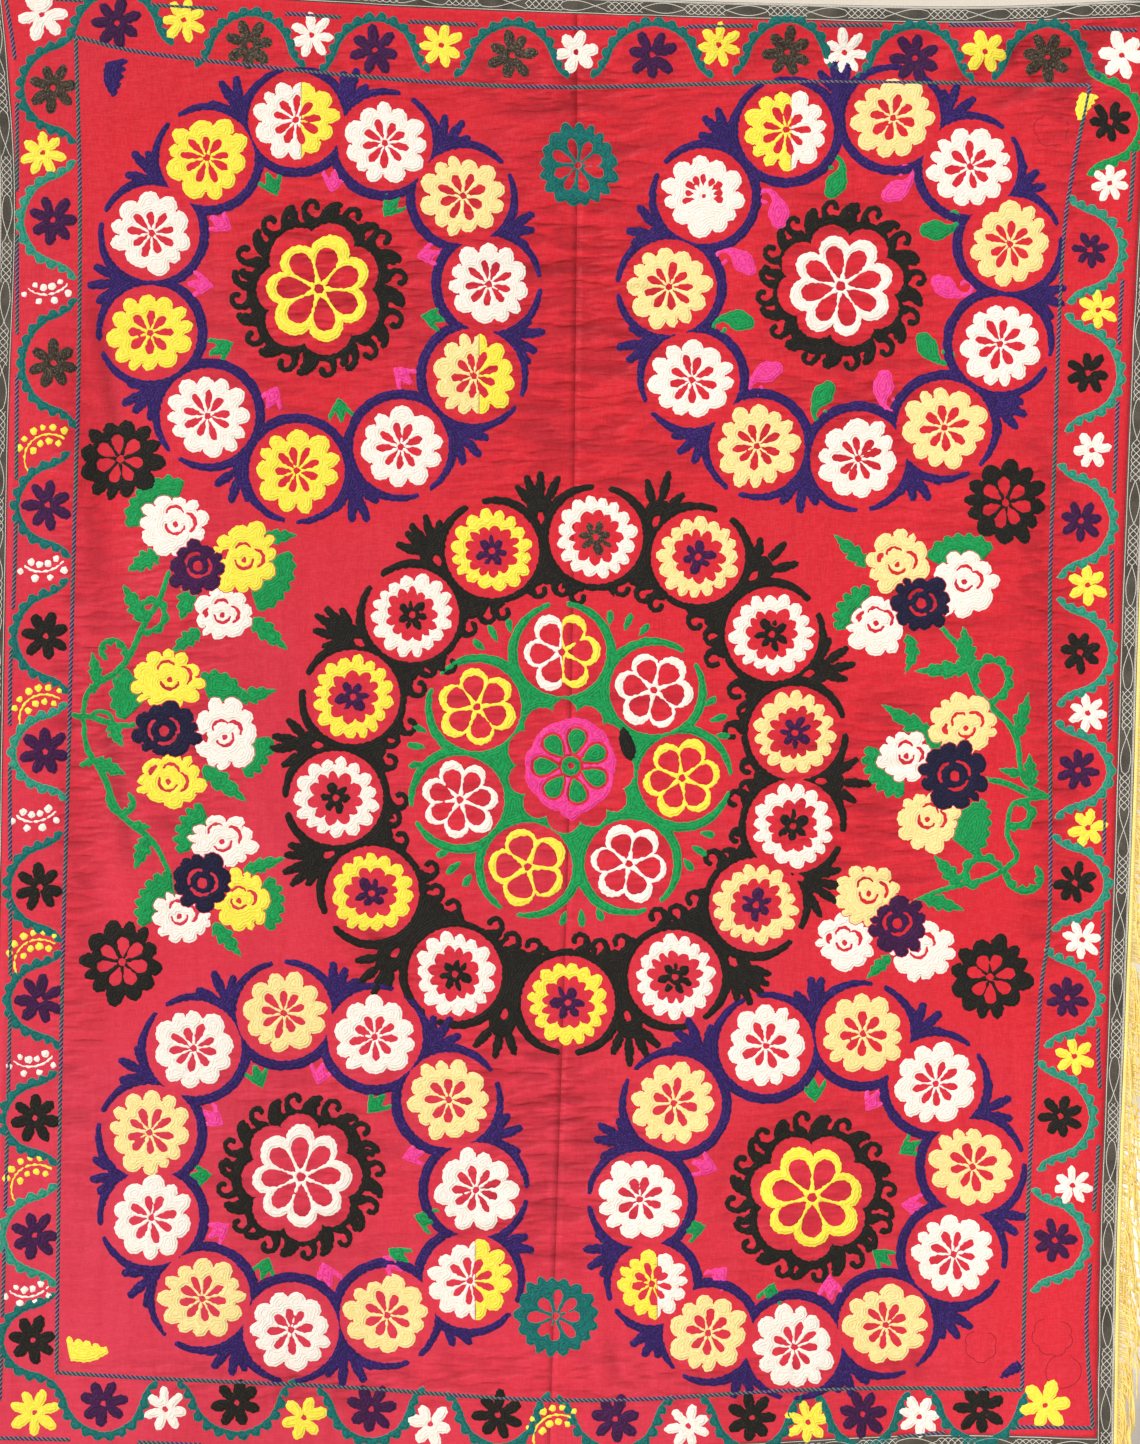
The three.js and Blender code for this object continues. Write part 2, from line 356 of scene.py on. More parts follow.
def leaf(base: Points, tip: Points, width: float, teeth: int = 4, bend: float = 0.0) -> Points:
    """Closed outline of a saw-edged leaf.

    Args:
        base: where the stalk joins.
        tip: the leaf's point.
        width: width at its widest.
        teeth: teeth on each side.
        bend: how far the middle bows to the left.

    Returns:
        The outline's points.
    """
    ahead = tip - base
    length = float(np.linalg.norm(ahead))
    left = np.array((-ahead[1], ahead[0])) / length
    share = np.linspace(0, 1, 1 + teeth * max(3, round(length / teeth / OUTLINE_STEP * 1.3)))
    spine = base + share[:, None] * ahead + (bend * np.sin(math.pi * share))[:, None] * left
    saw = (share * teeth) % 1.0
    body = np.sin(math.pi * np.clip(0.06 + 0.94 * share, 0, 1) ** 0.75)
    half = width / 2 * (body * (0.66 + 0.42 * np.sin(math.pi * saw * 0.62)) + 0.04)
    return np.vstack((spine + half[:, None] * left, (spine - half[:, None] * left)[::-1]))


def uneven(outline: Points) -> Points:
    """An outline with the small unevenness of hand stitching, the same wherever outlines meet.

    Args:
        outline: the even outline.

    Returns:
        The uneven one.
    """
    x, y = outline[:, 0], outline[:, 1]
    right = np.sin(0.83 * x + 0.37 * y) + np.sin(0.29 * x - 0.71 * y + 1.3)
    up = np.sin(0.41 * x + 0.79 * y + 2.1) + np.sin(0.67 * x - 0.33 * y + 0.6)
    return outline + UNEVEN * np.stack((right, up), axis=1)


def within(points: Points, outline: Points) -> Points:
    """Which points lie inside an outline, by its winding.

    Args:
        points: the points to test.
        outline: the closed outline.

    Returns:
        One truth value a point.
    """
    found = np.zeros(len(points), bool)
    low, high = outline.min(axis=0), outline.max(axis=0)
    near = np.flatnonzero(((points >= low) & (points <= high)).all(axis=1))
    if not len(near):
        return found
    a, b = outline, np.roll(outline, -1, axis=0)
    for block in np.array_split(near, 1 + len(near) * len(outline) // 4_000_000):
        p = points[block]
        up = (a[None, :, 1] <= p[:, None, 1]) & (b[None, :, 1] > p[:, None, 1])
        down = (a[None, :, 1] > p[:, None, 1]) & (b[None, :, 1] <= p[:, None, 1])
        turn = (b[:, 0] - a[:, 0])[None] * (p[:, None, 1] - a[None, :, 1])
        turn = turn - (p[:, None, 0] - a[None, :, 0]) * (b[:, 1] - a[:, 1])[None]
        winding = (up & (turn > 0)).sum(axis=1) - (down & (turn < 0)).sum(axis=1)
        found[block] = winding != 0
    return found


@dataclass(frozen=True)
class SideLine:
    """X of the cloth's outer edges and seam at one level, in millimetres."""

    at: float
    left: float
    seam: float
    right: float


@dataclass(frozen=True)
class EndLine:
    """Z of the cloth's top and foot at one X, in millimetres."""

    at: float
    top: float
    foot: float


@dataclass(frozen=True)
class Fold:
    """One soft straight ridge (depth above 0) or trough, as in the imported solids."""

    x: float
    z: float
    lean: float
    reach: float
    width: float
    depth: float

    def raised(self, x: Points, z: Points) -> Points:
        """How far it brings the cloth forward.

        Args:
            x: places across, in millimetres.
            z: places up.

        Returns:
            Millimetres forward at each place.
        """
        lean = math.radians(self.lean)
        dx, dz = x - self.x, z - self.z
        down = dx * math.sin(lean) - dz * math.cos(lean)
        across = dx * math.cos(lean) + dz * math.sin(lean)
        return self.depth * np.exp(-((across / self.width) ** 2) - (down / self.reach) ** 4)


@dataclass(frozen=True)
class Puckers:
    """A patch of small wrinkles drawn up by the stitching."""

    x: float
    z: float
    wide: float
    high: float
    count: int
    lean: float
    reach: float
    width: float
    depth: float

    def folds(self) -> list[Fold]:
        """The wrinkles, each a small ridge or trough.

        Returns:
            The wrinkles.
        """
        rng = dice(np.array((self.x, self.z)))
        made = []
        for n in range(self.count):
            sign = 1 if n % 2 else -0.8
            made.append(
                Fold(
                    self.x + self.wide * rng.uniform(-1, 1),
                    self.z + self.high * (2 * (n + rng.uniform(0.1, 0.9)) / self.count - 1),
                    self.lean + rng.normal(0, 7),
                    self.reach * rng.uniform(0.55, 1.2),
                    self.width * rng.uniform(0.75, 1.4),
                    self.depth * sign * rng.uniform(0.6, 1.2),
                )
            )
        return made


SIDE_LINES = several(
    SideLine,
    (40, -893, 0, 886), (-110, -878, 0, 879), (-310, -867, 0, 869), (-620, -877, -3, 854), (-930, -883, -6, 842),
    (-1235, -888, -12, 833), (-1545, -893, -21, 821), (-1855, -900, -31, 809), (-2220, -910, -42, 803),
)

END_LINES = several(
    EndLine,
    (-910, 39, -2204), (-660, 29, -2207), (-430, 20, -2210), (-250, 10, -2211), (0, 0, -2210), (300, -10, -2191),
    (560, -15, -2183), (720, -11, -2184), (900, -2, -2188),
)

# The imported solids' folds.
FOLDS = several(
    Fold,
    (-705, -717, 9, 200, 38, -9), (-772, -690, 9, 210, 36, 6), (-730, -1257, 8, 170, 38, -9),
    (-660, -1280, 8, 180, 38, 6), (-535, -1050, 0, 520, 130, 8), (-425, -1325, 28, 160, 36, 8),
    (-492, -1345, 28, 150, 36, -5), (-280, -1714, 38, 140, 34, 8), (-344, -1700, 38, 130, 34, -5),
    (230, -1694, -56, 95, 32, 6), (290, -1746, -55, 95, 30, -5), (350, -1800, -53, 95, 32, 6),
    (724, -100, -70, 140, 28, -8), (690, -44, -74, 160, 28, 7), (360, -92, -88, 220, 30, -7),
    (400, -34, -88, 220, 28, 7), (-190, -60, 85, 190, 30, -5), (5, -470, 0, 330, 110, -8),
    (-12, -1400, 0, 310, 95, -6), (620, -965, 2, 440, 100, 8), (740, -1060, 2, 420, 55, -6),
    (-640, -2150, 0, 480, 150, 13), (-290, -2150, 3, 430, 120, -9), (150, -2150, -2, 460, 140, 12),
    (510, -2150, 0, 520, 120, -13), (760, -2100, 0, 620, 80, 10),
)

# Creases too fine for the solids.
CREASES = several(
    Fold,
    (0, -1054, 90, 250, 7, -1.6), (-365, -447, 90, 180, 7, -1.4), (-708, -560, 10, 120, 13, -2.2),
    (-735, -800, 6, 110, 12, 2.0), (-690, -1180, 9, 120, 13, -2.2), (700, -120, -62, 90, 11, -2.4),
    (742, -70, -58, 80, 11, 2.2), (660, -95, -75, 110, 10, -1.8),
)

# Places where the stitching gathers the cloth.
PUCKERS = several(
    Puckers,
    (5, -402, 75, 255, 34, 90, 90, 8, 2.9), (-33, -1760, 80, 130, 16, 90, 80, 8, 2.6),
    (735, -90, 90, 60, 10, -62, 60, 8, 2.8), (712, -1050, 26, 470, 36, 84, 28, 6, 2.0),
    (425, -1182, 80, 150, 18, 84, 70, 8, 2.2), (-265, -1437, 50, 30, 5, 70, 45, 7, 2.2),
    (-85, -1602, 60, 45, 7, 80, 55, 7, 2.4), (-748, -1150, 22, 640, 30, 86, 26, 6, 1.8),
    (732, -260, 24, 105, 9, -55, 34, 6, 2.2), (-60, -2070, 600, 25, 22, 20, 30, 8, 1.8),
    (100, -110, 620, 30, 26, 12, 34, 8, 2.0), (-610, -1020, 60, 240, 10, 76, 60, 9, 1.8),
    (-290, -400, 90, 120, 9, 82, 70, 8, 1.8), (380, -640, 90, 60, 6, 84, 70, 8, 1.8),
    (400, -430, 120, 170, 20, 88, 90, 6, 1.7), (-390, -460, 130, 170, 18, 84, 90, 6, 1.5),
    (-30, -1180, 190, 180, 18, 86, 90, 7, 1.6), (-400, -1740, 110, 150, 12, 84, 80, 7, 1.4),
    (370, -1790, 110, 150, 12, 95, 80, 7, 1.4), (590, -820, 90, 130, 12, 88, 70, 7, 1.6),
    (0, -700, 170, 40, 6, 84, 90, 8, 1.8),
)


def through(rows: Sequence[Any], column: str, at: Points) -> Points:
    """One column of a table of lines, on a smooth cubic through its rows.

    Args:
        rows: the table.
        column: name of the column.
        at: stations to read it at.

    Returns:
        The column's value at each station.
    """
    ordered = sorted(rows, key=lambda row: row.at)
    xs = np.array([row.at for row in ordered], float)
    ys = np.array([getattr(row, column) for row in ordered], float)
    before, after = np.maximum(np.arange(len(xs)) - 1, 0), np.minimum(np.arange(len(xs)) + 1, len(xs) - 1)
    slope = (ys[after] - ys[before]) / (xs[after] - xs[before])
    i = np.clip(np.searchsorted(xs, at) - 1, 0, len(xs) - 2)
    span = xs[i + 1] - xs[i]
    u = (at - xs[i]) / span
    start = (2 * u**3 - 3 * u**2 + 1) * ys[i] + (u**3 - 2 * u**2 + u) * span * slope[i]
    return start + (3 * u**2 - 2 * u**3) * ys[i + 1] + (u**3 - u**2) * span * slope[i + 1]


class Drape:
    """The hung cloth's edges and folds, in millimetres."""

    def __init__(self) -> None:
        """Gathers the folds, creases and puckers."""
        nothing = np.zeros(1)
        self.at_origin = float(sum(fold.raised(nothing, nothing)[0] for fold in FOLDS))
        self.fine = [*CREASES, *(fold for patch in PUCKERS for fold in patch.folds())]
        self.folds = [*FOLDS, *self.fine]

    def depth(self, x: Points, z: Points) -> Points:
        """Y of the cloth's middle layer at places across and up."""
        return self.at_origin - self.raised(self.folds, x, z)

    def raised(self, folds: list[Fold], x: Points, z: Points) -> Points:
        """How far some folds bring the cloth forward.

        Args:
            folds: the folds.
            x: places across.
            z: places up.

        Returns:
            Millimetres forward at each place.
        """
        flat_x, flat_z = np.ravel(x), np.ravel(z)
        forward = np.zeros(len(flat_x))
        for fold in folds:
            far = 2.7 * max(fold.width, 0.55 * fold.reach) + 10
            near = np.flatnonzero((np.abs(flat_x - fold.x) < far) & (np.abs(flat_z - fold.z) < far))
            if len(near):
                forward[near] += fold.raised(flat_x[near], flat_z[near])
        return forward.reshape(np.shape(x))

    def gathered(self, points: Points) -> Points:
        """How much the stitching gathers the cloth.

        Args:
            points: chart points, x and y last.

        Returns:
            From 0 to 1 at each point.
        """
        found = np.full(points.shape[:-1], 0.06)
        for patch in PUCKERS:
            across = (points[..., 0] - patch.x) / (patch.wide + 0.8 * patch.reach)
            along = (points[..., 1] - patch.z) / (patch.high + 25)
            found = found + 0.3 * patch.depth * np.exp(-(across**4) - along**4)
        return np.clip(found, 0, 1)

    def hollow(self, points: Points) -> Points:
        """How deep each chart point lies in a fine crease, from 0 to 1, the mask of the cloth's painted crease shade.
        """
        return np.clip(-self.raised(self.fine, points[..., 0], points[..., 1]) / 2.4, 0, 1)

    def across(self, share: Points, z: Points, inset: float) -> Points:
        """X at a share of the width, the seam lying at one half.

        Args:
            share: shares of the width.
            z: levels.
            inset: distance inside both edges.

        Returns:
            X at each place.
        """
        left = through(SIDE_LINES, "left", z) + inset
        right = through(SIDE_LINES, "right", z) - inset
        seam = through(SIDE_LINES, "seam", z)
        return np.where(share < 0.5, left + (seam - left) * 2 * share, seam + (right - seam) * (2 * share - 1))

    def place(self, share: Points, fall: Points, inset: float, end_inset: float) -> Points:
        """Chart points at shares of the width and of the drop.

        Args:
            share: shares of the width.
            fall: shares of the drop, 0 at the top.
            inset: distance inside the sides.
            end_inset: distance inside the top and the foot.

        Returns:
            The points, x and y last.
        """
        share, fall = np.broadcast_arrays(share, fall)
        x = np.zeros(share.shape)
        z = np.zeros(share.shape)
        for _ in range(8):
            top = through(END_LINES, "top", x) - end_inset
            foot = through(END_LINES, "foot", x) + end_inset
            z = top + (foot - top) * fall
            x = self.across(share, z, inset)
        return np.stack((x, z), axis=-1)

    def lay(self, points: Points, forward: Points | float) -> Points:
        """Chart points laid on the folds, some millimetres in front of the middle layer, in metres."""
        y = self.depth(points[..., 0], points[..., 1]) - forward
        return np.stack((points[..., 0], y, points[..., 1]), axis=-1) * MM


def placed(name: str, data: bpy.types.ID) -> bpy.types.Object:
    """A new object of the scene.

    Args:
        name: its name.
        data: its mesh, lamp or camera.

    Returns:
        The object.
    """
    made = bpy.data.objects.new(name, data)
    bpy.context.scene.collection.objects.link(made)
    return made


@dataclass
class Shape:
    """A mesh being put together: vertices in metres, faces, values at the vertices and bake places."""

    vertices: list[Points] = field(default_factory=list)
    faces: list[Points] = field(default_factory=list)
    values: dict[str, list[Points]] = field(default_factory=dict)
    count: int = 0

    def add(self, vertices: Points, faces: list[Points], **values: Points | float) -> None:
        """Adds some faces with their vertices.

        Args:
            vertices: places in metres.
            faces: arrays of faces of one kind, their corners counted within these vertices.
            values: a value for each vertex, or one for all of them.
        """
        self.vertices.append(vertices)
        self.faces.extend(part + self.count for part in faces)
        for name, value in values.items():
            self.values.setdefault(name, []).append(np.broadcast_to(np.asarray(value, float), len(vertices)))
        self.count += len(vertices)

    def triangles(self) -> int:
        """How many triangles it has."""
        return sum(len(faces) * (faces.shape[1] - 2) for faces in self.faces)

    def build(self, name: str, material: bpy.types.Material, slot: str) -> bpy.types.Object:
        """Makes the object, riding on the part's body.

        Args:
            name: the piece's name.
            material: its finish.
            slot: not used.

        Returns:
            The object.
        """
        vertices = np.vstack(self.vertices)
        mesh = bpy.data.meshes.new(name)
        mesh.vertices.add(len(vertices))
        mesh.vertices.foreach_set("co", vertices.astype(np.float32).ravel())
        corners = np.concatenate([faces.ravel() for faces in self.faces]).astype(np.int32)
        totals = np.concatenate([np.full(len(faces), faces.shape[1]) for faces in self.faces]).astype(np.int32)
        mesh.loops.add(len(corners))
        mesh.loops.foreach_set("vertex_index", corners)
        mesh.polygons.add(len(totals))
        starts = np.concatenate(([0], np.cumsum(totals)[:-1])).astype(np.int32)
        mesh.polygons.foreach_set("loop_start", starts)
        mesh.polygons.foreach_set("loop_total", totals)
        mesh.polygons.foreach_set("use_smooth", np.ones(len(totals), bool))
        mesh.update(calc_edges=True)
        mesh.validate()
        for key, parts in self.values.items():
            layer = mesh.attributes.new(key, "FLOAT", "POINT")
            layer.data.foreach_set("value", np.concatenate(parts).astype(np.float32))
        self.lay_bake_map(mesh, vertices, corners)
        made = placed(name, mesh)
        mesh.materials.append(material)
        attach(made, BODY)
        LOG.info("%s: %d triangles", name, self.triangles())
        return made

    def lay_bake_map(self, mesh: bpy.types.Mesh, vertices: Points, corners: Points) -> None:
        """Lays the face in the left half of a flat map and the back in the right half.

        Args:
            mesh: the mesh to map.
            vertices: its vertices.
            corners: vertex of each face corner.
        """
        low, high = vertices.min(axis=0), vertices.max(axis=0)
        size = np.maximum(high - low, 1e-6)
        u = (vertices[:, 0] - low[0]) / size[0]
        v = (vertices[:, 2] - low[2]) / size[2]
        back = np.concatenate(self.values["back"]) if "back" in self.values else np.zeros(len(vertices))
        places = np.stack((0.01 + 0.48 * u + 0.5 * (back > 0.5), 0.01 + 0.98 * v), axis=1)
        layer = mesh.uv_layers.new(name="OFBake")
        layer.data.foreach_set("uv", places[corners].astype(np.float32).ravel())


@dataclass
class Patch:
    """One worked area: outlines joined together, with outlines left bare."""

    thread: Thread
    solids: list[Points]
    bare: list[Points]
    second: Thread | None = None
    change_at: float = 0.0
    lift: float = 0.0

    def thinned(self, skip: int) -> "Patch":
        """The same area with each skip-th point of its longer outlines."""
        parts = [[o[::skip] if len(o) > FEW_POINTS else o for o in part] for part in (self.solids, self.bare)]
        return replace(self, solids=parts[0], bare=parts[1])

    def covers(self, points: Points) -> Points:
        """Which chart points are worked over.

        Args:
            points: the points.

        Returns:
            One truth value a point.
        """
        found = np.zeros(len(points), bool)
        for outline in self.solids:
            found |= within(points, outline)
        for outline in self.bare:
            found &= ~within(points, outline)
        return found


def search_tree(points: Points) -> kdtree.KDTree:
    """Chart points ready to be searched for the nearest.

    Args:
        points: the points.

    Returns:
        The search tree.
    """
    tree = kdtree.KDTree(len(points))
    for k, point in enumerate(points.tolist()):
        tree.insert((*point, 0.0), k)
    tree.balance()
    return tree


class Needlework:
    """Collects the worked areas and turns them into one mesh for each thread."""

    def __init__(self, drape: Drape) -> None:
        """Starts with bare cloth.

        Args:
            drape: the folds to lie on.
        """
        self.drape = drape
        self.patches: list[Patch] = []
        self.shapes: dict[Thread, Shape] = {}

    def fill(self, thread: Thread, solids: Iterable[Points], bare: Iterable[Points] = (), **more: Any) -> None:
        """Works an area: outlines to fill, outlines to leave bare and any other fields of the patch."""
        self.patches.append(Patch(thread, [uneven(o) for o in solids], [uneven(o) for o in bare], **more))

    def stitch(self) -> dict[Thread, Shape]:
        """Works every area, on the face and more flatly on the back.

        Returns:
            The mesh of each thread.
        """
        for number, patch in enumerate(self.patches):
            rng = np.random.default_rng(number)
            tint = rng.uniform(-1, 1)
            lift = patch.lift + rng.uniform(0, 0.12)
            self.work(patch, FILL_SPACING, 1, PILE, lift, tint, False)
            self.work(patch, BACK_SPACING, BACK_STEP_SKIP, BACK_PILE, lift, tint, True)
        return self.shapes

    def work(
        self, patch: Patch, spacing: float, skip: int, pile: float, lift: float, tint: float, back: bool
    ) -> None:
        """Fills one area with triangles.

        Args:
            patch: the area.
            spacing: distance between the points inside.
            skip: keeps each of this many outline points.
            pile: height of the stitches.
            lift: further height.
            tint: how the dye differs, from -1 to 1.
            back: works the cloth's back in place of its face.
        """
        points, faces = self.mesh(patch.thinned(skip), spacing, back)
        if not len(faces):
            return
        rows = self.distance_to_rim(points, faces)
        height = lift + pile * (1 - np.exp(-rows / PILE_RISE))
        height = np.where(rows <= 0, -RIM_SUNK, height)
        forward = CLOTH_THICKNESS / 2 + height
        if back:
            forward = np.full(len(points), -(CLOTH_THICKNESS / 2 + lift + pile))
            faces = faces[:, ::-1]
        places = self.drape.lay(points, forward)
        middle = points[faces].mean(axis=1)
        first = np.ones(len(faces), bool) if patch.second is None else middle[:, 0] < patch.change_at
        for thread, chosen in ((patch.thread, first), (patch.second, ~first)):
            if thread is None or not chosen.any():
                continue
            used, corners = np.unique(faces[chosen], return_inverse=True)
            shape = self.shapes.setdefault(thread, Shape())
            shape.add(places[used], [corners.reshape(-1, 3)], row=rows[used], tint=tint, back=float(back))

    def mesh(self, patch: Patch, spacing: float, back: bool) -> tuple[Points, Points]:
        """Triangles of an area on the chart.

        Args:
            patch: the area.
            spacing: distance between the points inside.
            back: whether it is for the cloth's back.

        Returns:
            Points, and the corners of each triangle.
        """
        loops = [*patch.solids, *patch.bare]
        rim = np.vstack(loops)
        edges = []
        start = 0
        for loop in loops:
            edges.extend((start + k, start + (k + 1) % len(loop)) for k in range(len(loop)))
            start += len(loop)
        inner = self.inner_points(patch, rim, spacing, back)
        extra = []
        if patch.second is not None:
            low, high = rim[:, 1].min(), rim[:, 1].max()
            extra = [(patch.change_at, low - 1), (patch.change_at, high + 1)]
            edges.append((len(rim), len(rim) + 1))
        coords = [Vector(p) for p in (*rim.tolist(), *extra, *inner.tolist())]
        verts, _, tris, _, _, _ = delaunay_2d_cdt(coords, edges, [], 0, 1e-3, False)
        points = np.array([tuple(v) for v in verts])
        faces = np.array([tuple(t) for t in tris if len(t) == 3], int).reshape(-1, 3)
        faces = faces[patch.covers(points[faces].mean(axis=1))]
        used, corners = np.unique(faces, return_inverse=True)
        return points[used], corners.reshape(-1, 3)

    def inner_points(self, patch: Patch, rim: Points, spacing: float, back: bool) -> Points:
        """Points inside an area: a row just inside each outline and an even spread.

        Args:
            patch: the area.
            rim: all points of its outlines.
            spacing: distance between the spread's points.
            back: leaves out the row inside the outline.

        Returns:
            The points.
        """
        low, high = rim.min(axis=0), rim.max(axis=0)
        rows = np.arange(low[1], high[1], spacing * 0.866)
        columns = np.arange(low[0], high[0], spacing)
        x = columns[None] + (np.arange(len(rows)) % 2)[:, None] * spacing / 2
        spread = np.stack((x, np.broadcast_to(rows[:, None], x.shape)), axis=-1).reshape(-1, 2)
        spread = spread[patch.covers(spread)]
        tree = search_tree(rim)
        clear = 0.5 * spacing if back else RIM_INSET + 0.55 * spacing
        spread = np.array([p for p in spread.tolist() if tree.find((*p, 0.0))[2] > clear]).reshape(-1, 2)
        if back:
            return spread
        inset = []
        for loop in (*patch.solids, *patch.bare):
            turned = unit(np.roll(loop, -1, axis=0) - np.roll(loop, 1, axis=0))
            left = np.stack((-turned[:, 1], turned[:, 0]), axis=1)
            inset.extend((loop + RIM_INSET * left, loop - RIM_INSET * left))
        row = np.vstack(inset)
        row = row[patch.covers(row)]
        row = np.array([p for p in row.tolist() if tree.find((*p, 0.0))[2] > 0.8 * RIM_INSET]).reshape(-1, 2)
        return np.vstack((row, spread))

    def distance_to_rim(self, points: Points, faces: Points) -> Points:
        """Distance of each point to the area's edge.

        Args:
            points: chart points.
            faces: the triangles.

        Returns:
            Millimetres, 0 on the edge.
        """
        pairs = np.sort(np.vstack((faces[:, :2], faces[:, 1:], faces[:, ::2])), axis=1)
        found, times = np.unique(pairs, axis=0, return_counts=True)
        edge = found[times == 1]
        on_edge = np.zeros(len(points), bool)
        on_edge[edge.ravel()] = True
        marks = np.vstack((points[on_edge], points[edge].mean(axis=1)))
        tree = search_tree(marks)
        far = np.zeros(len(points))
        for k in np.flatnonzero(~on_edge):
            far[k] = tree.find((*points[k], 0.0))[2]
        return far


@dataclass(frozen=True)
class DropFlower:
    """A scalloped round flower with teardrops left bare round its middle."""

    radius: float = 62.0
    lobes: int = 12
    notch: float = 12.0
    drops: int = 8
    drop_start: float = 6.5
    drop_end: float = 33.0
    drop_width: float = 13.5
    eye: float = 4.5
    round_off: float = 0.72
    arc: float = 360.0

    def outline(self, centre: Points, turn: float) -> Points:
        """The flower's outer edge."""
        loose = 0.25 if self.drops != self.lobes else 0.04
        return scallop(centre, self.radius, self.lobes, self.notch, turn, self.round_off, loose)

    def stitch(
        self, work: Needlework, centre: Points, thread: Thread, second: Thread | None = None, shift: float = 0.0
    ) -> None:
        """Works the flower.

        Args:
            work: the needlework.
            centre: the flower's middle.
            thread: its thread.
            second: the thread of its right part, if that differs.
            shift: where the thread changes, right of the middle.
        """
        rng = dice(centre)
        turn = rng.uniform(0, 360) if self.arc == 360.0 else -self.arc / 2
        bare = [circle(centre, self.eye)]
        loose = 0.12 if self.drops != self.lobes else 0.03
        for k in range(self.drops):
            bearing = turn + self.arc * (k + 0.5 + rng.uniform(-loose, loose)) / self.drops
            end = self.drop_end * (1 + rng.uniform(-loose, 0.7 * loose))
            width = self.drop_width * (1 + rng.uniform(-1.2 * loose, loose))
            bare.append(drop(centre, bearing, self.drop_start, end, width))
        work.fill(thread, [self.outline(centre, turn)], bare, second=second, change_at=centre[0] + shift)


@dataclass(frozen=True)
class Place:
    """A place in the photo."""

    across_px: float
    down_px: float

    @property
    def at(self) -> Points:
        """Its chart point."""
        return spot(self.across_px, self.down_px)


@dataclass(frozen=True)
class Bloom(Place):
    """A place with the thread, or two threads, worked there."""

    letters: str
    size: float = 1.0

    @property
    def thread(self) -> Thread:
        """Its first thread."""
        return LETTERS[self.letters[0].upper()]

    @property
    def second(self) -> Thread | None:
        """Its second thread, if it has one."""
        return LETTERS[self.letters[1].upper()] if len(self.letters) > 1 else None


def blooms(*rows: tuple) -> tuple[Bloom, ...]:
    """Blooms from rows of across, down, letters and sometimes size."""
    return several(Bloom, *rows)


def neighbours(ring: Sequence[Bloom]) -> list[tuple[Points, Points]]:
    """Middle of each bloom of a ring, with the next one's."""
    places = [bloom.at for bloom in ring]
    return list(zip(places, places[1:] + places[:1]))


@dataclass(frozen=True)
class Hand:
    """Fingers spreading from one place, in one of a few arrangements."""

    swings: tuple[tuple[float, ...], ...]
    loose: float
    shortest: float
    longest: float
    shorter_aside: float
    middle_bend: float
    widths: tuple[float, ...]

    def outlines(self, fork: Points, bearing: float, rng: np.random.Generator) -> list[Points]:
        """The fingers' outlines.

        Args:
            fork: where they part.
            bearing: bearing of the hand.
            rng: random numbers for their unevenness.

        Returns:
            The outlines.
        """
        shapes = []
        for swing in self.swings[int(rng.integers(0, len(self.swings)))]:
            heading = bearing + swing + rng.uniform(-self.loose, self.loose)
            length = rng.uniform(self.shortest, self.longest) - self.shorter_aside * abs(swing)
            finger = wander(fork, heading, length, (-swing * 0.3, -swing * self.middle_bend, swing * 0.4))
            shapes.append(stroke(finger, self.widths))
        return shapes


@dataclass(frozen=True)
class Hook:
    """A curling stroke on a ring's edge, placed and aimed by swings from the ring's ray."""

    away: float
    aside: float
    heading: float
    shortest: float
    longest: float
    turns: tuple[float, ...]
    widths: tuple[float, ...]

    def outline(self, centre: Points, bearing: float, rng: np.random.Generator) -> Points:
        """The hook's outline.

        Args:
            centre: the ring's middle.
            bearing: the ray's bearing.
            rng: random numbers for its unevenness.

        Returns:
            The outline.
        """
        root = centre + self.away * facing(bearing + self.aside)
        path = wander(root, bearing + self.heading, rng.uniform(self.shortest, self.longest), self.turns)
        return stroke(path, self.widths)


@dataclass(frozen=True)
class Roundel:
    """A great round motif about a place in the photo."""

    centre_px: tuple[float, float]

    @property
    def centre(self) -> Points:
        """Chart point of its middle."""
        return spot(*self.centre_px)


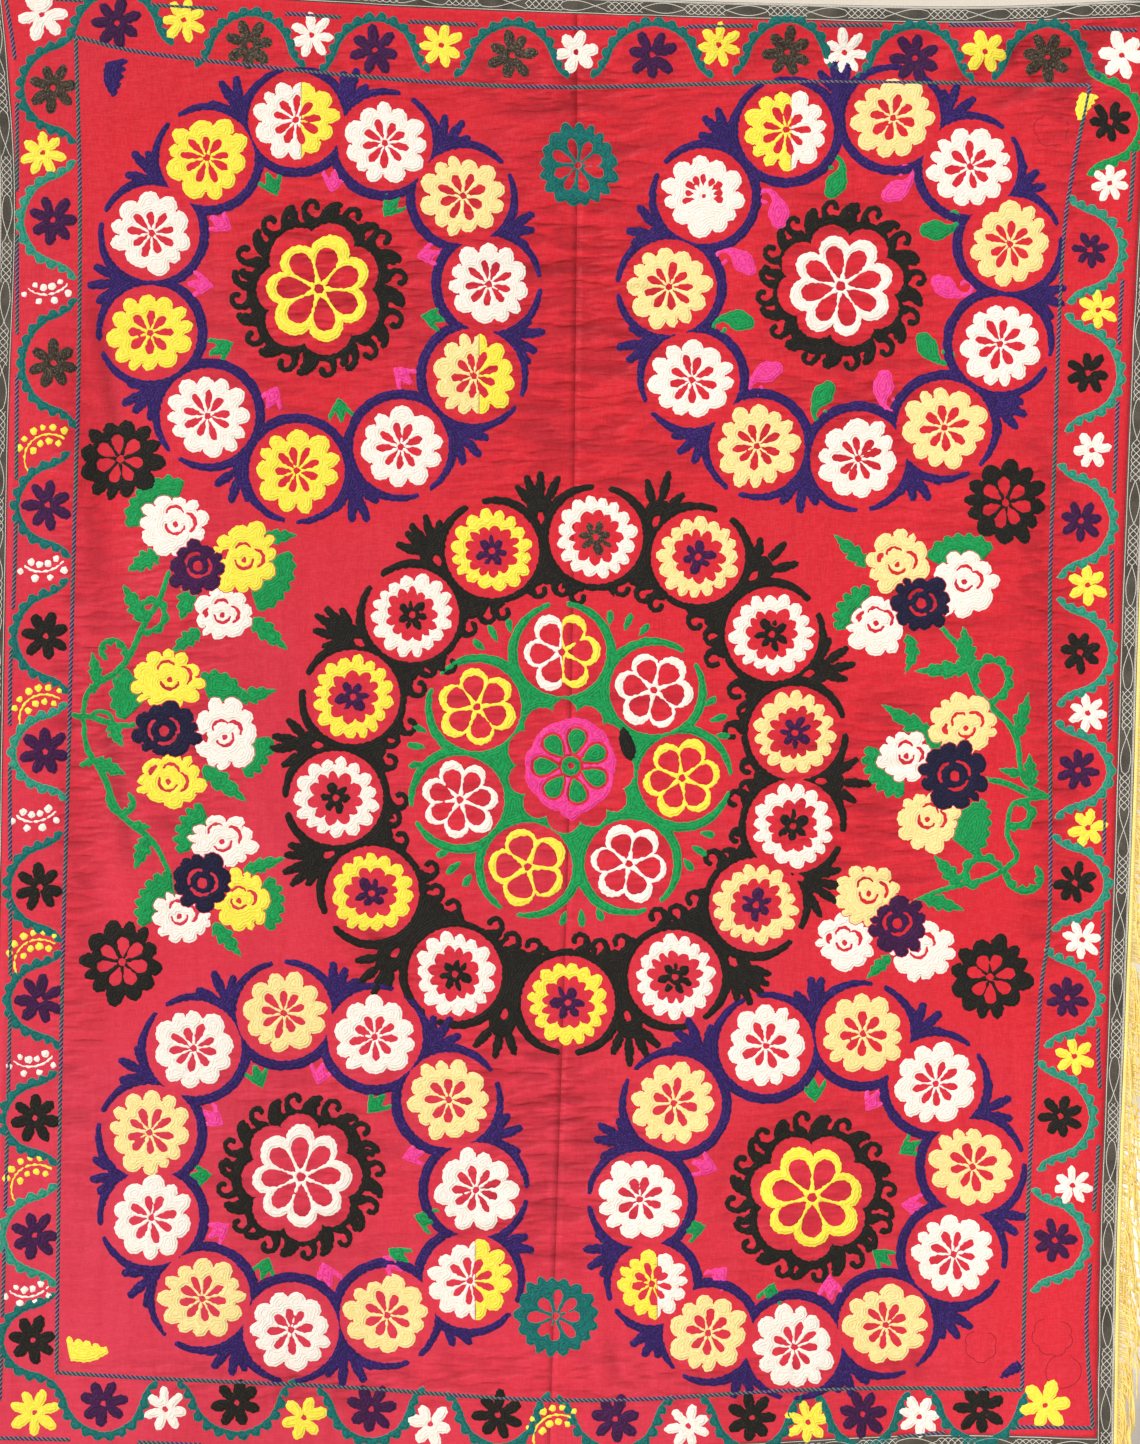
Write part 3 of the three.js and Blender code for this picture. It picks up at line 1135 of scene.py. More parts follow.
@dataclass(frozen=True)
class CornerRoundel(Roundel):
    """A roundel of eleven flowers in open cells round a petalled rosette."""

    flowers: tuple[Bloom, ...]
    rosette: Thread
    petals: int
    turn: float
    figures: str
    crowns: bool = True
    units: int = 12
    cell: float = 71.0
    ring_inside: float = 21.0
    ring_outside: float = 12.5
    gap: float = 9.0
    petal_radius: float = 81.0
    surround: float = 98.0
    rosette_size: float = 1.0
    odd: int | None = None
    crown_inset: float = 74.0
    paisley_inset: float = 86.0
    paisley_shift: float = 18.0
    fingers: ClassVar[Hand] = Hand(
        ((-44, -6, 34), (-52, -20, 12, 46), (-46, -14, 18, 54)), 6, 46, 56, 0.16, 0.3, (10, 12, 17, 13)
    )
    hooks: ClassVar[tuple[Hook, ...]] = (
        Hook(100, 3, -2, 34, 40, (40, 120, 160), (20, 12, 12)),
        Hook(101, -8, -52, 50, 55, (60, 230, 480), (18, 11.5, 9, 11)),
        Hook(100, -21, -30, 18, 24, (0, 70, 160), (18, 15, 13)),
    )

    def stitch(self, work: Needlework) -> None:
        """Works the whole roundel.

        Args:
            work: the needlework.
        """
        for k, bloom in enumerate(self.flowers):
            lobes, drops = dice(bloom.at).integers((10, 8), (13, 10)).tolist()
            flower = DropFlower(
                radius=62.0 * bloom.size, lobes=lobes, drops=drops, drop_start=7, drop_end=36 * bloom.size,
                drop_width=104 / drops - 1,
            )
            if k == self.odd:
                flower = DropFlower(
                    lobes=lobes, drops=9, drop_start=15, drop_end=31, drop_width=8.5, eye=3.0, arc=240
                )
            flower.stitch(work, bloom.at, bloom.thread, bloom.second, 8.0)
        self.stitch_cells(work)
        self.stitch_rosette(work)
        self.stitch_motifs(work)

    def stitch_cells(self, work: Needlework) -> None:
        """Works the purple rings round the flowers and the hands between them.

        Args:
            work: the needlework.
        """
        solids = []
        bare = []
        for bloom, (here, after) in zip(self.flowers, neighbours(self.flowers)):
            out = bearing_of(here - self.centre)
            cell = self.cell * bloom.size
            path = bow(here, cell + 6.0, out + self.gap, out + 360 - self.gap, 62)
            widths = (self.ring_outside - 4, self.ring_outside + 5, self.ring_inside - 2, self.ring_inside)
            solids.append(stroke(path, (*widths, *widths[::-1])))
            bare.append(circle(here, cell))
            solids.extend(self.hand(here, after))
        work.fill(Thread.PURPLE, solids, bare)

    def hand(self, here: Points, after: Points) -> list[Points]:
        """Outlines of the trunk and fingers that stand out between two cells.

        Args:
            here: one cell's middle.
            after: the next cell's.

        Returns:
            The outlines.
        """
        middle = (here + after) / 2
        out = middle - self.centre
        bearing = bearing_of(out)
        out = out / np.linalg.norm(out)
        fork = middle + out * 40
        trunk = np.linspace(middle - out * 30, fork + out * 6, 16)
        return [stroke(trunk, (5, 10, 18, 32, 27)), *self.fingers.outlines(fork, bearing, dice(middle))]

    def stitch_rosette(self, work: Needlework) -> None:
        """Works the petalled rosette and the black ring with its hooks.

        Args:
            work: the needlework.
        """
        centre = self.centre
        turn = self.turn - 180 / self.petals
        outline = scallop(centre, self.petal_radius, self.petals, 18, turn, 0.75, 0.08)
        bare = [circle(centre, 7)]
        width = 2 * math.pi * 42 / self.petals - 6
        for k in range(self.petals):
            bare.append(drop(centre, turn + 360 * (k + 0.5) / self.petals, 12, 63, width, 0.95))
        work.fill(self.rosette, self.sized([outline]), self.sized(bare))
        solids = [scallop(centre, self.surround + 13, self.petals, 12, turn, 0.75, 0.08)]
        rng = dice(centre)
        for k in range(self.units):
            bearing = 360 * (k + rng.uniform(-0.08, 0.08)) / self.units
            solids.extend([hook.outline(centre, bearing, rng) for hook in self.hooks])
        surround = scallop(centre, self.surround, self.petals, 17, turn, 0.7, 0.08)
        work.fill(Thread.BLACK, self.sized(solids), self.sized([surround]))

    def sized(self, shapes: list[Points]) -> list[Points]:
        """Shapes round the roundel's middle at the rosette's own size."""
        return [self.centre + self.rosette_size * (shape - self.centre) for shape in shapes]

    def stitch_motifs(self, work: Needlework) -> None:
        """Works the small pink and green figures between the rosette and the cells.

        Args:
            work: the needlework.
        """
        for letters, (here, after) in zip(self.figures.split(), neighbours(self.flowers)):
            middle = (here + after) / 2
            out = bearing_of(middle - self.centre)
            bearing = out + dice(middle).uniform(-7, 7)
            if self.crowns:
                outline = self.crown(middle - self.crown_inset * facing(out), bearing)
            else:
                at = middle - self.paisley_inset * facing(out) - self.paisley_shift * facing(out + 90)
                outline = self.paisley(at, bearing)
            for letter, shift in zip(letters, (0, -15)):
                if letter in LETTERS:
                    work.fill(LETTERS[letter], [outline + shift * facing(bearing + 90)])

    def crown(self, at: Points, bearing: float) -> Points:
        """A three-pronged figure pointing inwards, its prongs outwards.

        Args:
            at: its middle.
            bearing: bearing of its prongs.

        Returns:
            The outline.
        """
        across = np.array((0, 9, 20, 18, 8, 3, -3, -8, -18, -20, -9, 0)) * dice(at).uniform(0.95, 1.1)
        out = np.array((-20, -10, 6, 15, 3, 18, 18, 3, 16, 7, -10, -20)) * dice(at).uniform(0.95, 1.1)
        return spaced(at + across[:, None] * facing(bearing + 90) + out[:, None] * facing(bearing), 3.0)[:-1]

    def paisley(self, at: Points, bearing: float) -> Points:
        """A fat drop lying along the ray, its tail curled at the outer end."""
        body = wander(at - 16 * facing(bearing - 20), bearing + 30, 86, (10, -40, -240, -560, -640))
        return stroke(body, (24, 34, 30, 17, 10, 8, 7, 7, 7))


@dataclass(frozen=True)
class CentreRoundel(Roundel):
    """The great middle roundel: fourteen cells round seven green ones round a pink disc."""

    outer: tuple[Bloom, ...]
    inner: tuple[Bloom, ...]
    petals: tuple[int, ...]
    cell: float = 70.0
    inner_cell: float = 66.0
    gap: float = 12.0
    pink_radius: float = 71.0
    surround: float = 97.0
    fingers: ClassVar[Hand] = Hand(
        ((-48, -17, 14, 46), (-44, -3, 40), (-50, -26, 0, 25, 50)), 4, 54, 66, 0.2, 0.5, (12, 11, 16.5, 11)
    )
    curl: ClassVar[Hook] = Hook(0, 0, 42, 50, 57, (-10, -290, -400), (26, 12, 8.5, 10))

    def stitch(self, work: Needlework) -> None:
        """Works the whole roundel.

        Args:
            work: the needlework.
        """
        for bloom in self.outer:
            self.stitch_ring_flower(work, bloom)
        self.stitch_frame(work)
        for petals, bloom in zip(self.petals, self.inner):
            petalled = DropFlower(
                radius=60, lobes=petals, notch=16, drops=petals, drop_start=9, drop_end=47,
                drop_width=2 * math.pi * 34 / petals - 5, eye=5, round_off=0.85,
            )
            petalled.stitch(work, bloom.at, bloom.thread, bloom.second)
        self.stitch_green(work)
        self.stitch_heart(work)

    def stitch_ring_flower(self, work: Needlework, bloom: Bloom) -> None:
        """Works a scalloped ring with a small dark flower inside it.

        Args:
            work: the needlework.
            bloom: its place, with the ring's thread and the small flower's.
        """
        rng = dice(bloom.at)
        turn = rng.uniform(0, 360)
        ring = scallop(bloom.at, 62, int(rng.integers(15, 17)), 10, turn, 0.75)
        work.fill(bloom.thread, [ring], [scallop(bloom.at, 40, int(rng.integers(11, 14)), 9, turn, 0.9)])
        petals = int(rng.integers(6, 8))
        eye = [circle(bloom.at, 4.5)]
        work.fill(bloom.second, [scallop(bloom.at, 25, petals, 12, turn, 0.9)], eye)

    def stitch_frame(self, work: Needlework) -> None:
        """Works the black frame: cells, webs with a bare eye, hands and inward hooks.

        Args:
            work: the needlework.
        """
        solids = []
        bare = []
        for here, after in neighbours(self.outer):
            out = bearing_of(here - self.centre)
            path = bow(here, self.cell + 5.5, out + self.gap, out + (360 - self.gap), 62)
            solids.append(stroke(path, (11, 20, 20, 16, 13, 13, 16, 20, 20, 11)))
            bare.append(circle(here, self.cell))
            solids.extend(self.web(here, after, bare))
            solids.extend(self.waves(here, out + 180))
        work.fill(Thread.BLACK, solids, bare)

    def web(self, here: Points, after: Points, bare: list[Points]) -> list[Points]:
        """Outlines between two cells: the web, the fingers outside and the hooks inside.

        Args:
            here: one cell's middle.
            after: the next cell's.
            bare: gets the eye left bare in the web.

        Returns:
            The outlines.
        """
        middle = (here + after) / 2
        rng = dice(middle)
        bearing = bearing_of(middle - self.centre)
        out = facing(bearing)
        shapes = [stroke(np.linspace(middle - out * 50, middle + out * 54, 30), (26, 42, 18, 26, 44))]
        bare.append(drop(middle + out * 40, bearing, -8, 8, 9, 0.4))
        shapes.extend(self.fingers.outlines(middle + out * 50, bearing, rng))
        for side in (-1, 1):
            root = middle - out * 50 + side * 17 * facing(bearing + 90)
            shapes.append(self.curl.outline(root, bearing + 180, rng))
        return shapes

    def waves(self, here: Points, inward: float) -> list[Points]:
        """Outlines of the cusps and curling hooks on the inner side of a cell.

        Args:
            here: the cell's middle.
            inward: bearing of the roundel's middle from there.

        Returns:
            The outlines.
        """
        root = here + (self.cell + 6) * facing(inward + 14)
        shapes = [self.curl.outline(root, inward, dice(here))]
        for swing in (-23, 27):
            cusp = here + np.array((self.cell + 5, self.cell + 22))[:, None] * facing(inward + swing)
            shapes.append(stroke(np.linspace(*cusp, 7), (24, 12, 4)))
        return shapes

    def stitch_green(self, work: Needlework) -> None:
        """Works the green cells, the green between them and the droplets outside.

        Args:
            work: the needlework.
        """
        centre = self.centre
        solids = [scallop(centre, 142, 7, 4, 0)]
        bare = [scallop(centre, self.surround, 11, 15, 10, 0.7)]
        for here, after in neighbours(self.inner):
            out = bearing_of(here - centre)
            path = bow(here, self.inner_cell + 7, out + self.gap, out + (360 - self.gap), 60)
            solids.append(stroke(path, (8, 14, 18, 18, 16, 16, 18, 18, 14, 8)))
            bare.append(circle(here, self.inner_cell))
            middle = (here + after) / 2
            bearing = bearing_of(middle - centre)
            beyond = facing(bearing)
            solids.append(stroke(np.linspace(middle - beyond * 30, middle + beyond * 22, 12), (20, 12, 16)))
            for swing, near, far in ((-19, 68, 92), (1, 64, 94), (20, 70, 94)):
                work.fill(Thread.GREEN, [drop(middle, bearing + swing, near, far, 12, 0.6)])
        work.fill(Thread.GREEN, solids, bare)
        work.fill(Thread.BLACK, [drop(spot(622, 726), 164, 0, 54, 24, 0.4)], lift=0.6)

    def stitch_heart(self, work: Needlework) -> None:
        """Works the pink disc and the green rosette in it.

        Args:
            work: the needlework.
        """
        centre = self.centre
        disc = scallop(centre, self.pink_radius, 9, 3, 25, 0.8)
        point = leaf(centre - np.array((0, 55)), centre - np.array((-2, 84)), 34, 1)
        gaps = []
        greens = []
        for k in range(7):
            bearing = 360 * k / 7 + 12
            gaps.append(drop(centre, bearing, 13, 60, 33, 1.1))
            greens.append(drop(centre, bearing, 17, 57, 27, 1.1))
        work.fill(Thread.PINK, [disc, point], [*gaps, circle(centre, 18)])
        work.fill(Thread.GREEN, [*greens, circle(centre, 15)], [circle(centre, 4.5)])


@dataclass(frozen=True)
class PosyFlower(Place):
    """A loose scalloped flower of a posy, with bare comma marks round a bare dot."""

    letter: str
    radius: float = 48.0
    stretch: float = 1.0
    light_marks: ClassVar[tuple[Mark, ...]] = (
        (185, 0.0, 0.26, 165, (1.8, 3.6, 4.0, 2.0)), (75, 0.3, 0.27, 135, (2.0, 5.0, 4.6, 2.0)),
        (352, 0.26, 0.25, 135, (1.8, 3.6, 3.2, 1.8)), (283, 0.4, 0.2, 80, (3.0, 7.5, 7.0, 3.0)),
    )
    dark_marks: ClassVar[tuple[Mark, ...]] = (
        (185, 0.0, 0.38, 100, (2.2, 4.2, 4.2, 2.2)), (80, 0.12, 0.34, 110, (2.2, 4.0, 4.0, 2.2)),
        (310, 0.12, 0.34, 110, (2.2, 4.0, 4.0, 2.2)),
    )

    def outline(self) -> Points:
        """The flower's outer edge.

        Returns:
            The outline's points.
        """
        rng = dice(self.at)
        lobes = int(rng.integers(9, 12))
        flower = scallop(self.at, self.radius, lobes, 0.19 * self.radius, rng.uniform(0, 360), 0.6, 0.34)
        return self.at + (flower - self.at) * np.array((1.0, self.stretch))

    @property
    def dark(self) -> bool:
        """Whether it is one of the dark ones."""
        return self.letter in "MNPK"

    def marks(self) -> list[Points]:
        """Outlines left bare: a dot and the curled commas round it.

        Returns:
            The outlines.
        """
        rng = dice(self.at + 3)
        eye = self.at + self.radius * rng.uniform(-0.1, 0.1, 2)
        tilt = rng.uniform(-30, 30)
        shapes = [circle(eye, 6.5 if self.dark else 3.6, 1.15)]
        table = self.dark_marks if self.dark else self.light_marks[: int(rng.integers(3, 5))]
        for bearing, away, curve, sweep, widths in table:
            bearing = bearing + tilt + rng.uniform(-12, 12)
            spread = sweep * rng.uniform(0.85, 1.15) / 2
            middle = eye + away * self.radius * rng.uniform(0.9, 1.1) * facing(bearing)
            path = bow(middle, curve * self.radius, bearing - spread, bearing + spread, 14)
            shapes.append(stroke(path, widths))
        return shapes


def nearest(points: Points, place: Points) -> Points:
    """The point that lies nearest to a place."""
    return points[np.argmin(np.linalg.norm(points - place, axis=1))]


@dataclass(frozen=True)
class Stem:
    """A stem of the vine, swaying about a curve through a few places in the photo."""

    way_px: tuple[tuple[float, float], ...]
    width: float = 10.0
    sway: float = 5.0
    waves: float = 1.5

    def path(self) -> Points:
        """The stem's middle line.

        Returns:
            Its points.
        """
        curve = smooth(spots(*self.way_px))
        far = lengths(curve)
        share = math.pi * far / far[-1]
        aside = self.sway * np.sin(2 * self.waves * share) * np.sqrt(np.abs(np.sin(share)))
        return curve + aside[:, None] * sideways(curve)

    def outline(self) -> Points:
        """The stem's edge."""
        return tapered(self.path(), self.width)


@dataclass(frozen=True)
class Curl:
    """A tendril that leaves the vine near a place in the photo and rolls up."""

    base_px: tuple[float, float]
    bearing: float
    length: float
    turn: float
    width: float = 8.0
    frill: int = 0

    def outline(self, vine: Points) -> Points:
        """The tendril's edge.

        Args:
            vine: points along the stems, to start from.

        Returns:
            The outline's points.
        """
        base = nearest(vine, spot(*self.base_px))
        path = wander(base, self.bearing, self.length, (0.5 * self.turn, self.turn, 1.5 * self.turn))
        if self.frill:
            return frilled(path, self.width / 2, 7.0, 17.0, self.frill)
        return tapered(path, self.width)


@dataclass(frozen=True)
class Leaf:
    """A saw-edged leaf between two places in the photo, moved to the stem beside it."""

    base_px: tuple[float, float]
    tip_px: tuple[float, float]
    width: float = 27.0
    teeth: int = 4
    bend: float = 0.0
    join: float = 32.0

    def outline(self, vine: Points) -> Points:
        """The leaf's edge.

        Args:
            vine: points along the stems.

        Returns:
            The outline's points.
        """
        base, tip = spot(*self.base_px), spot(*self.tip_px)
        aside = nearest(vine, base) - base
        if np.linalg.norm(aside) > self.join:
            aside = np.zeros(2)
        return leaf(base + aside, tip + aside, self.width, self.teeth, self.bend)


@dataclass(frozen=True)
class Collar:
    """A leafy frill showing from behind a flower, between two bearings."""

    behind_px: tuple[float, float]
    first: float
    last: float
    reach: float

    def outlines(self) -> list[Points]:
        """The frill's edge and the part under the flower.

        Returns:
            The two outlines.
        """
        centre = spot(*self.behind_px)
        path = spaced(bow(centre, self.reach, self.first, self.last, 12), OUTLINE_STEP)
        return [np.vstack((path, centre)), frilled(path, 2.0, 8.0, 16.0, 1, 0.3)]


@dataclass(frozen=True)
class Posies:
    """Three posies on one branching vine."""

    flowers: tuple[PosyFlower, ...]
    leaves: tuple[Leaf, ...]
    stems: tuple[Stem, ...]
    curls: tuple[Curl, ...]
    collars: tuple[Collar, ...]
    flower_reach: float = 150.0
    leaf_reach: float = 160.0

    def stitch(self, work: Needlework) -> None:
        """Works the dark flowers whole, the light ones against them and the leaves against both.

        Args:
            work: the needlework.
        """
        dark = [flower for flower in self.flowers if flower.dark]
        light = [flower for flower in self.flowers if not flower.dark]
        dark_edges = [flower.outline() for flower in dark]
        light_edges = [flower.outline() for flower in light]
        for flower, edge in zip(dark, dark_edges):
            work.fill(LETTERS[flower.letter], [edge], flower.marks())
        for k, (flower, edge) in enumerate(zip(light, light_edges)):
            near = self.beside((*dark_edges, *light_edges[:k]), flower.at, self.flower_reach)
            work.fill(LETTERS[flower.letter], [edge], [*flower.marks(), *near])
        edges = [*dark_edges, *light_edges]
        vine = np.vstack([stem.path() for stem in self.stems])
        for shapes in (*([item.outline(vine)] for item in self.leaves), *(item.outlines() for item in self.collars)):
            work.fill(Thread.GREEN, shapes, self.beside(edges, shapes[0].mean(axis=0), self.leaf_reach))
        stems = [stem.outline() for stem in self.stems]
        work.fill(Thread.GREEN, [*stems, *(curl.outline(vine) for curl in self.curls)], edges)

    def beside(self, edges: Iterable[Points], place: Points, reach: float) -> list[Points]:
        """The outlines whose middle lies within reach of a place."""
        return [edge for edge in edges if np.linalg.norm(edge.mean(axis=0) - place) < reach]


@dataclass(frozen=True)
class BorderFlower:
    """A small flower of loose bulb petals."""

    radius: float = 34.0
    fullness: float = 0.82
    eye: float = 3.8

    def stitch(self, work: Needlework, centre: Points, thread: Thread) -> None:
        """Works the flower.

        Args:
            work: the needlework.
            centre: its middle.
            thread: its thread.
        """
        rng = dice(centre)
        light = thread in (Thread.IVORY, Thread.YELLOW, Thread.STRAW)
        petals = int(rng.integers(6, 8)) if light else 7
        turn = rng.uniform(0, 360)
        shapes = []
        for k in range(petals):
            bearing = turn + 360 * (k + rng.uniform(-0.1, 0.1)) / petals
            end = self.radius * rng.uniform(0.92, 1.08) * (1.0 if light else 1.1)
            fullness = self.fullness * (1.0 if light else 1.16)
            width = fullness * 2 * math.pi * 0.62 * self.radius / petals * rng.uniform(0.92, 1.08)
            shapes.append(drop(centre, bearing, self.eye - 2, end, width, 0.5 if light else 0.6))
        work.fill(thread, shapes, [circle(centre, self.eye)])


@dataclass(frozen=True)
class Sprig:
    """A curved stalk set with round dots: a bow, or a cane bent over at its top."""

    dot: float = 5.6
    apart: float = 10.5

    def stitch(self, work: Needlework, centre: Points, thread: Thread) -> None:
        """Works the sprig.

        Args:
            work: the needlework.
            centre: its middle.
            thread: its thread; yellow ones are canes.
        """
        rng = dice(centre)
        if thread is Thread.YELLOW:
            stalk = wander(centre + np.array((-23, -38)), -32, 100, (170, 160, 130))
            rows = {1: (0.3, 0.43, 0.56, 0.69, 0.82, 0.95), -1: (0.36, 0.56, 0.76, 0.95)}
        else:
            stalk = wander(centre + np.array((-27, 6)), 135, 64, (-130, -80, -90))
            rows = {1: (0.08, 0.36, 0.64, 0.92), -1: (0.0, 0.3, 0.6, 0.88)}
        shapes = [stroke(stalk, (4, 4, 4))]
        left = sideways(stalk)
        for side, shares in rows.items():
            for share in shares:
                k = round(share * (len(stalk) - 1))
                shapes.append(circle(stalk[k] + side * self.apart * left[k], self.dot * rng.uniform(0.85, 1.15)))
        work.fill(thread, shapes)


@dataclass(frozen=True)
class BorderSide:
    """One side of the border: its row of flowers, with a vine arch round each dark one.

    Capital letters are flowers and small letters are sprigs. Outward is the bearing of the cloth's edge.
    """

    outward: float
    flowers: tuple[Bloom, ...]
    vine: Thread
    odd: Mapping[int, Thread] = field(default_factory=dict)
    flower: float = 34.5
    arch: tuple[tuple[float, float], ...] = (
        (34, -84), (25, -73), (9, -63), (-12, -55), (-31, -39), (-43, -16), (-46, 4), (-41, 24), (-27, 45), (-7, 57),
        (13, 64), (27, 74), (34, 84),
    )
    usual_pitch: float = 99.0

    def stitch(self, work: Needlework) -> None:
        """Works the flowers, sprigs and arches.

        Args:
            work: the needlework.
        """
        out = facing(self.outward)
        along = facing(self.outward - 90) if self.outward in (180, 270) else facing(self.outward + 90)
        for k, bloom in enumerate(self.flowers):
            if bloom.letters.islower():
                Sprig().stitch(work, bloom.at, bloom.thread)
                continue
            BorderFlower(self.flower * bloom.size).stitch(work, bloom.at, bloom.thread)
            if bloom.letters not in "OMK":
                continue
            before = self.flowers[k - 1].at if k else bloom.at - self.usual_pitch * along
            after = self.flowers[k + 1].at if k + 1 < len(self.flowers) else bloom.at + self.usual_pitch * along
            squeeze = np.linalg.norm(after - before) / (2 * self.usual_pitch)
            places = np.array([bloom.at - u * out + v * squeeze * along for u, v in self.arch])
            side = 1 if along[0] * out[1] - along[1] * out[0] > 0 else -1
            edge = frilled(smooth(places), 4.0, 8.5, 18.0, side, 0.75)
            work.fill(self.odd.get(k, self.vine), [edge])


@dataclass(frozen=True)
class LeafScrap:
    """A small half leaf in a corner of the field, plain on one side and stepped on the other."""

    base_px: tuple[float, float]
    tip_px: tuple[float, float]
    letter: str
    wide: float
    steps: int = 5

    def stitch(self, work: Needlework) -> None:
        """Works it on a straight spine, its stepped side to the left of the way to its tip.

        Args:
            work: the needlework.
        """
        base, tip = spot(*self.base_px), spot(*self.tip_px)
        ahead = tip - base
        left = np.array((-ahead[1], ahead[0])) / np.linalg.norm(ahead)
        share = np.linspace(0, 1, 6 * self.steps)
        level = 1 - np.floor(share * self.steps) / self.steps
        tooth = 0.86 + 0.14 * np.sin(math.pi * ((share * self.steps) % 1.0))
        stepped = self.wide * level**0.7 * tooth
        plain = 0.22 * self.wide * np.sin(math.pi * share)
        spine = base + share[:, None] * ahead
        edge = np.vstack((spine + stepped[:, None] * left, (spine - plain[:, None] * left)[::-1]))
        work.fill(LETTERS[self.letter], [edge])


def stretches(kept: Points, starts: Iterable[int], shortest: int) -> list[slice]:
    """Where a line is kept without a break.

    Args:
        kept: whether each of its places is kept.
        starts: the first place of each stretch.
        shortest: how many places a stretch needs to count.

    Returns:
        The stretches.
    """
    found = []
    for start in starts:
        end = start
        while end < len(kept) and kept[end]:
            end += 1
        if end - start >= shortest:
            found.append(slice(start, end))
    return found


@dataclass(frozen=True)
class Line:
    """A raised line worked through places in the photo."""

    way_px: tuple[tuple[float, float], ...]
    breaks: tuple[tuple[float, float], ...] = ()
    by_height: bool = True

    def paths(self, step: float) -> list[Points]:
        """The line's middle, cut at its breaks.

        Args:
            step: distance between points.

        Returns:
            One path for each stretch.
        """
        path = smooth(spots(*self.way_px), step)
        limits = spots(*((a, a) for pair in self.breaks for a in pair)) if self.breaks else np.zeros((0, 2))
        at = path[:, 1] if self.by_height else path[:, 0]
        values = limits[:, 1] if self.by_height else limits[:, 0]
        kept = np.ones(len(path), bool)
        for a, b in zip(values[::2], values[1::2]):
            kept &= ~((at > min(a, b)) & (at < max(a, b)))
        starts = np.flatnonzero(kept & ~np.roll(kept, 1))
        if kept[0] and 0 not in starts:
            starts = np.concatenate(([0], starts))
        return [path[stretch] for stretch in stretches(kept, starts, 4)]


def ribbon(
    shape: Shape, drape: Drape, path: Points, width: float, height: float, base: float, across: int = 4
) -> None:
    """Adds a raised half-round line along a path.

    Args:
        shape: gets the faces.
        drape: the folds to lie on.
        path: the line's middle on the chart.
        width: its width.
        height: how far it stands up.
        base: where its edges lie, in front of the middle layer.
        across: faces across it.
    """
    left = sideways(path)
    share = np.linspace(-1, 1, across + 1)
    points = path[:, None] + (share * width / 2)[None, :, None] * left[:, None]
    forward = np.broadcast_to(base + height * np.sqrt(np.maximum(0, 1 - share**2)), points.shape[:2])
    far = np.broadcast_to(lengths(path)[:, None], points.shape[:2])
    side = np.broadcast_to(share[None] * width / 2, points.shape[:2])
    rows, columns = points.shape[:2]
    index = np.arange(rows * columns).reshape(rows, columns)
    faces = np.stack((index[:-1, 1:], index[:-1, :-1], index[1:, :-1], index[1:, 1:]), axis=-1).reshape(-1, 4)
    places = drape.lay(points, forward).reshape(-1, 3)
    shape.add(places, [faces], along=far.ravel(), side=side.ravel())


class Socket:
    """One output of a shader node; Python's operators add Math or Vector Math nodes to it."""

    def __init__(self, graph: "Graph", link: bpy.types.NodeSocket | None) -> None:
        """Keeps the output and its graph."""
        self.graph = graph
        self.link = link

    def maths(self, operation: str, *values: Any) -> "Socket":
        """A Math node on this value and the others, or a Vector Math node if it is a vector."""
        kind = "ShaderNodeVectorMath" if self.link.type == "VECTOR" else "ShaderNodeMath"
        return self.graph.node(kind, dict(enumerate((self, *values))), {"operation": operation})

    def __add__(self, other: Any) -> "Socket":
        """Sum."""
        return self.maths("ADD", other)

    __radd__ = __add__

    def __mul__(self, other: Any) -> "Socket":
        """Product."""
        return self.maths("MULTIPLY", other)

    __rmul__ = __mul__

    def __sub__(self, other: Any) -> "Socket":
        """Difference."""
        return self.maths("SUBTRACT", other)

    def __rsub__(self, other: Any) -> "Socket":
        """Difference from a plain number."""
        return (self * -1.0) + other

    def __truediv__(self, other: Any) -> "Socket":
        """Quotient."""
        return self.maths("DIVIDE", other)

    def __rtruediv__(self, other: Any) -> "Socket":
        """Plain number over this value."""
        return self.maths("POWER", -1.0) * other

    def sine(self) -> "Socket":
        """Sine of the value in radians."""
        return self.maths("SINE")

    def ramp(self, low: float, high: float) -> "Socket":
        """Smooth step from 0 at low to 1 at high."""
        inputs = {0: self, 1: low, 2: high, 3: 0.0, 4: 1.0}
        return self.graph.node("ShaderNodeMapRange", inputs, {"interpolation_type": "SMOOTHSTEP", "clamp": True})


def linear(colour: Colour) -> tuple[float, float, float, float]:
    """A display colour, 0 to 255, as the shader's linear colour.

    Args:
        colour: red, green and blue.

    Returns:
        Linear red, green, blue and 1.
    """
    shares = [c / 255 for c in colour]
    straight = [c / 12.92 if c <= 0.04045 else ((c + 0.055) / 1.055) ** 2.4 for c in shares]
    return (straight[0], straight[1], straight[2], 1.0)


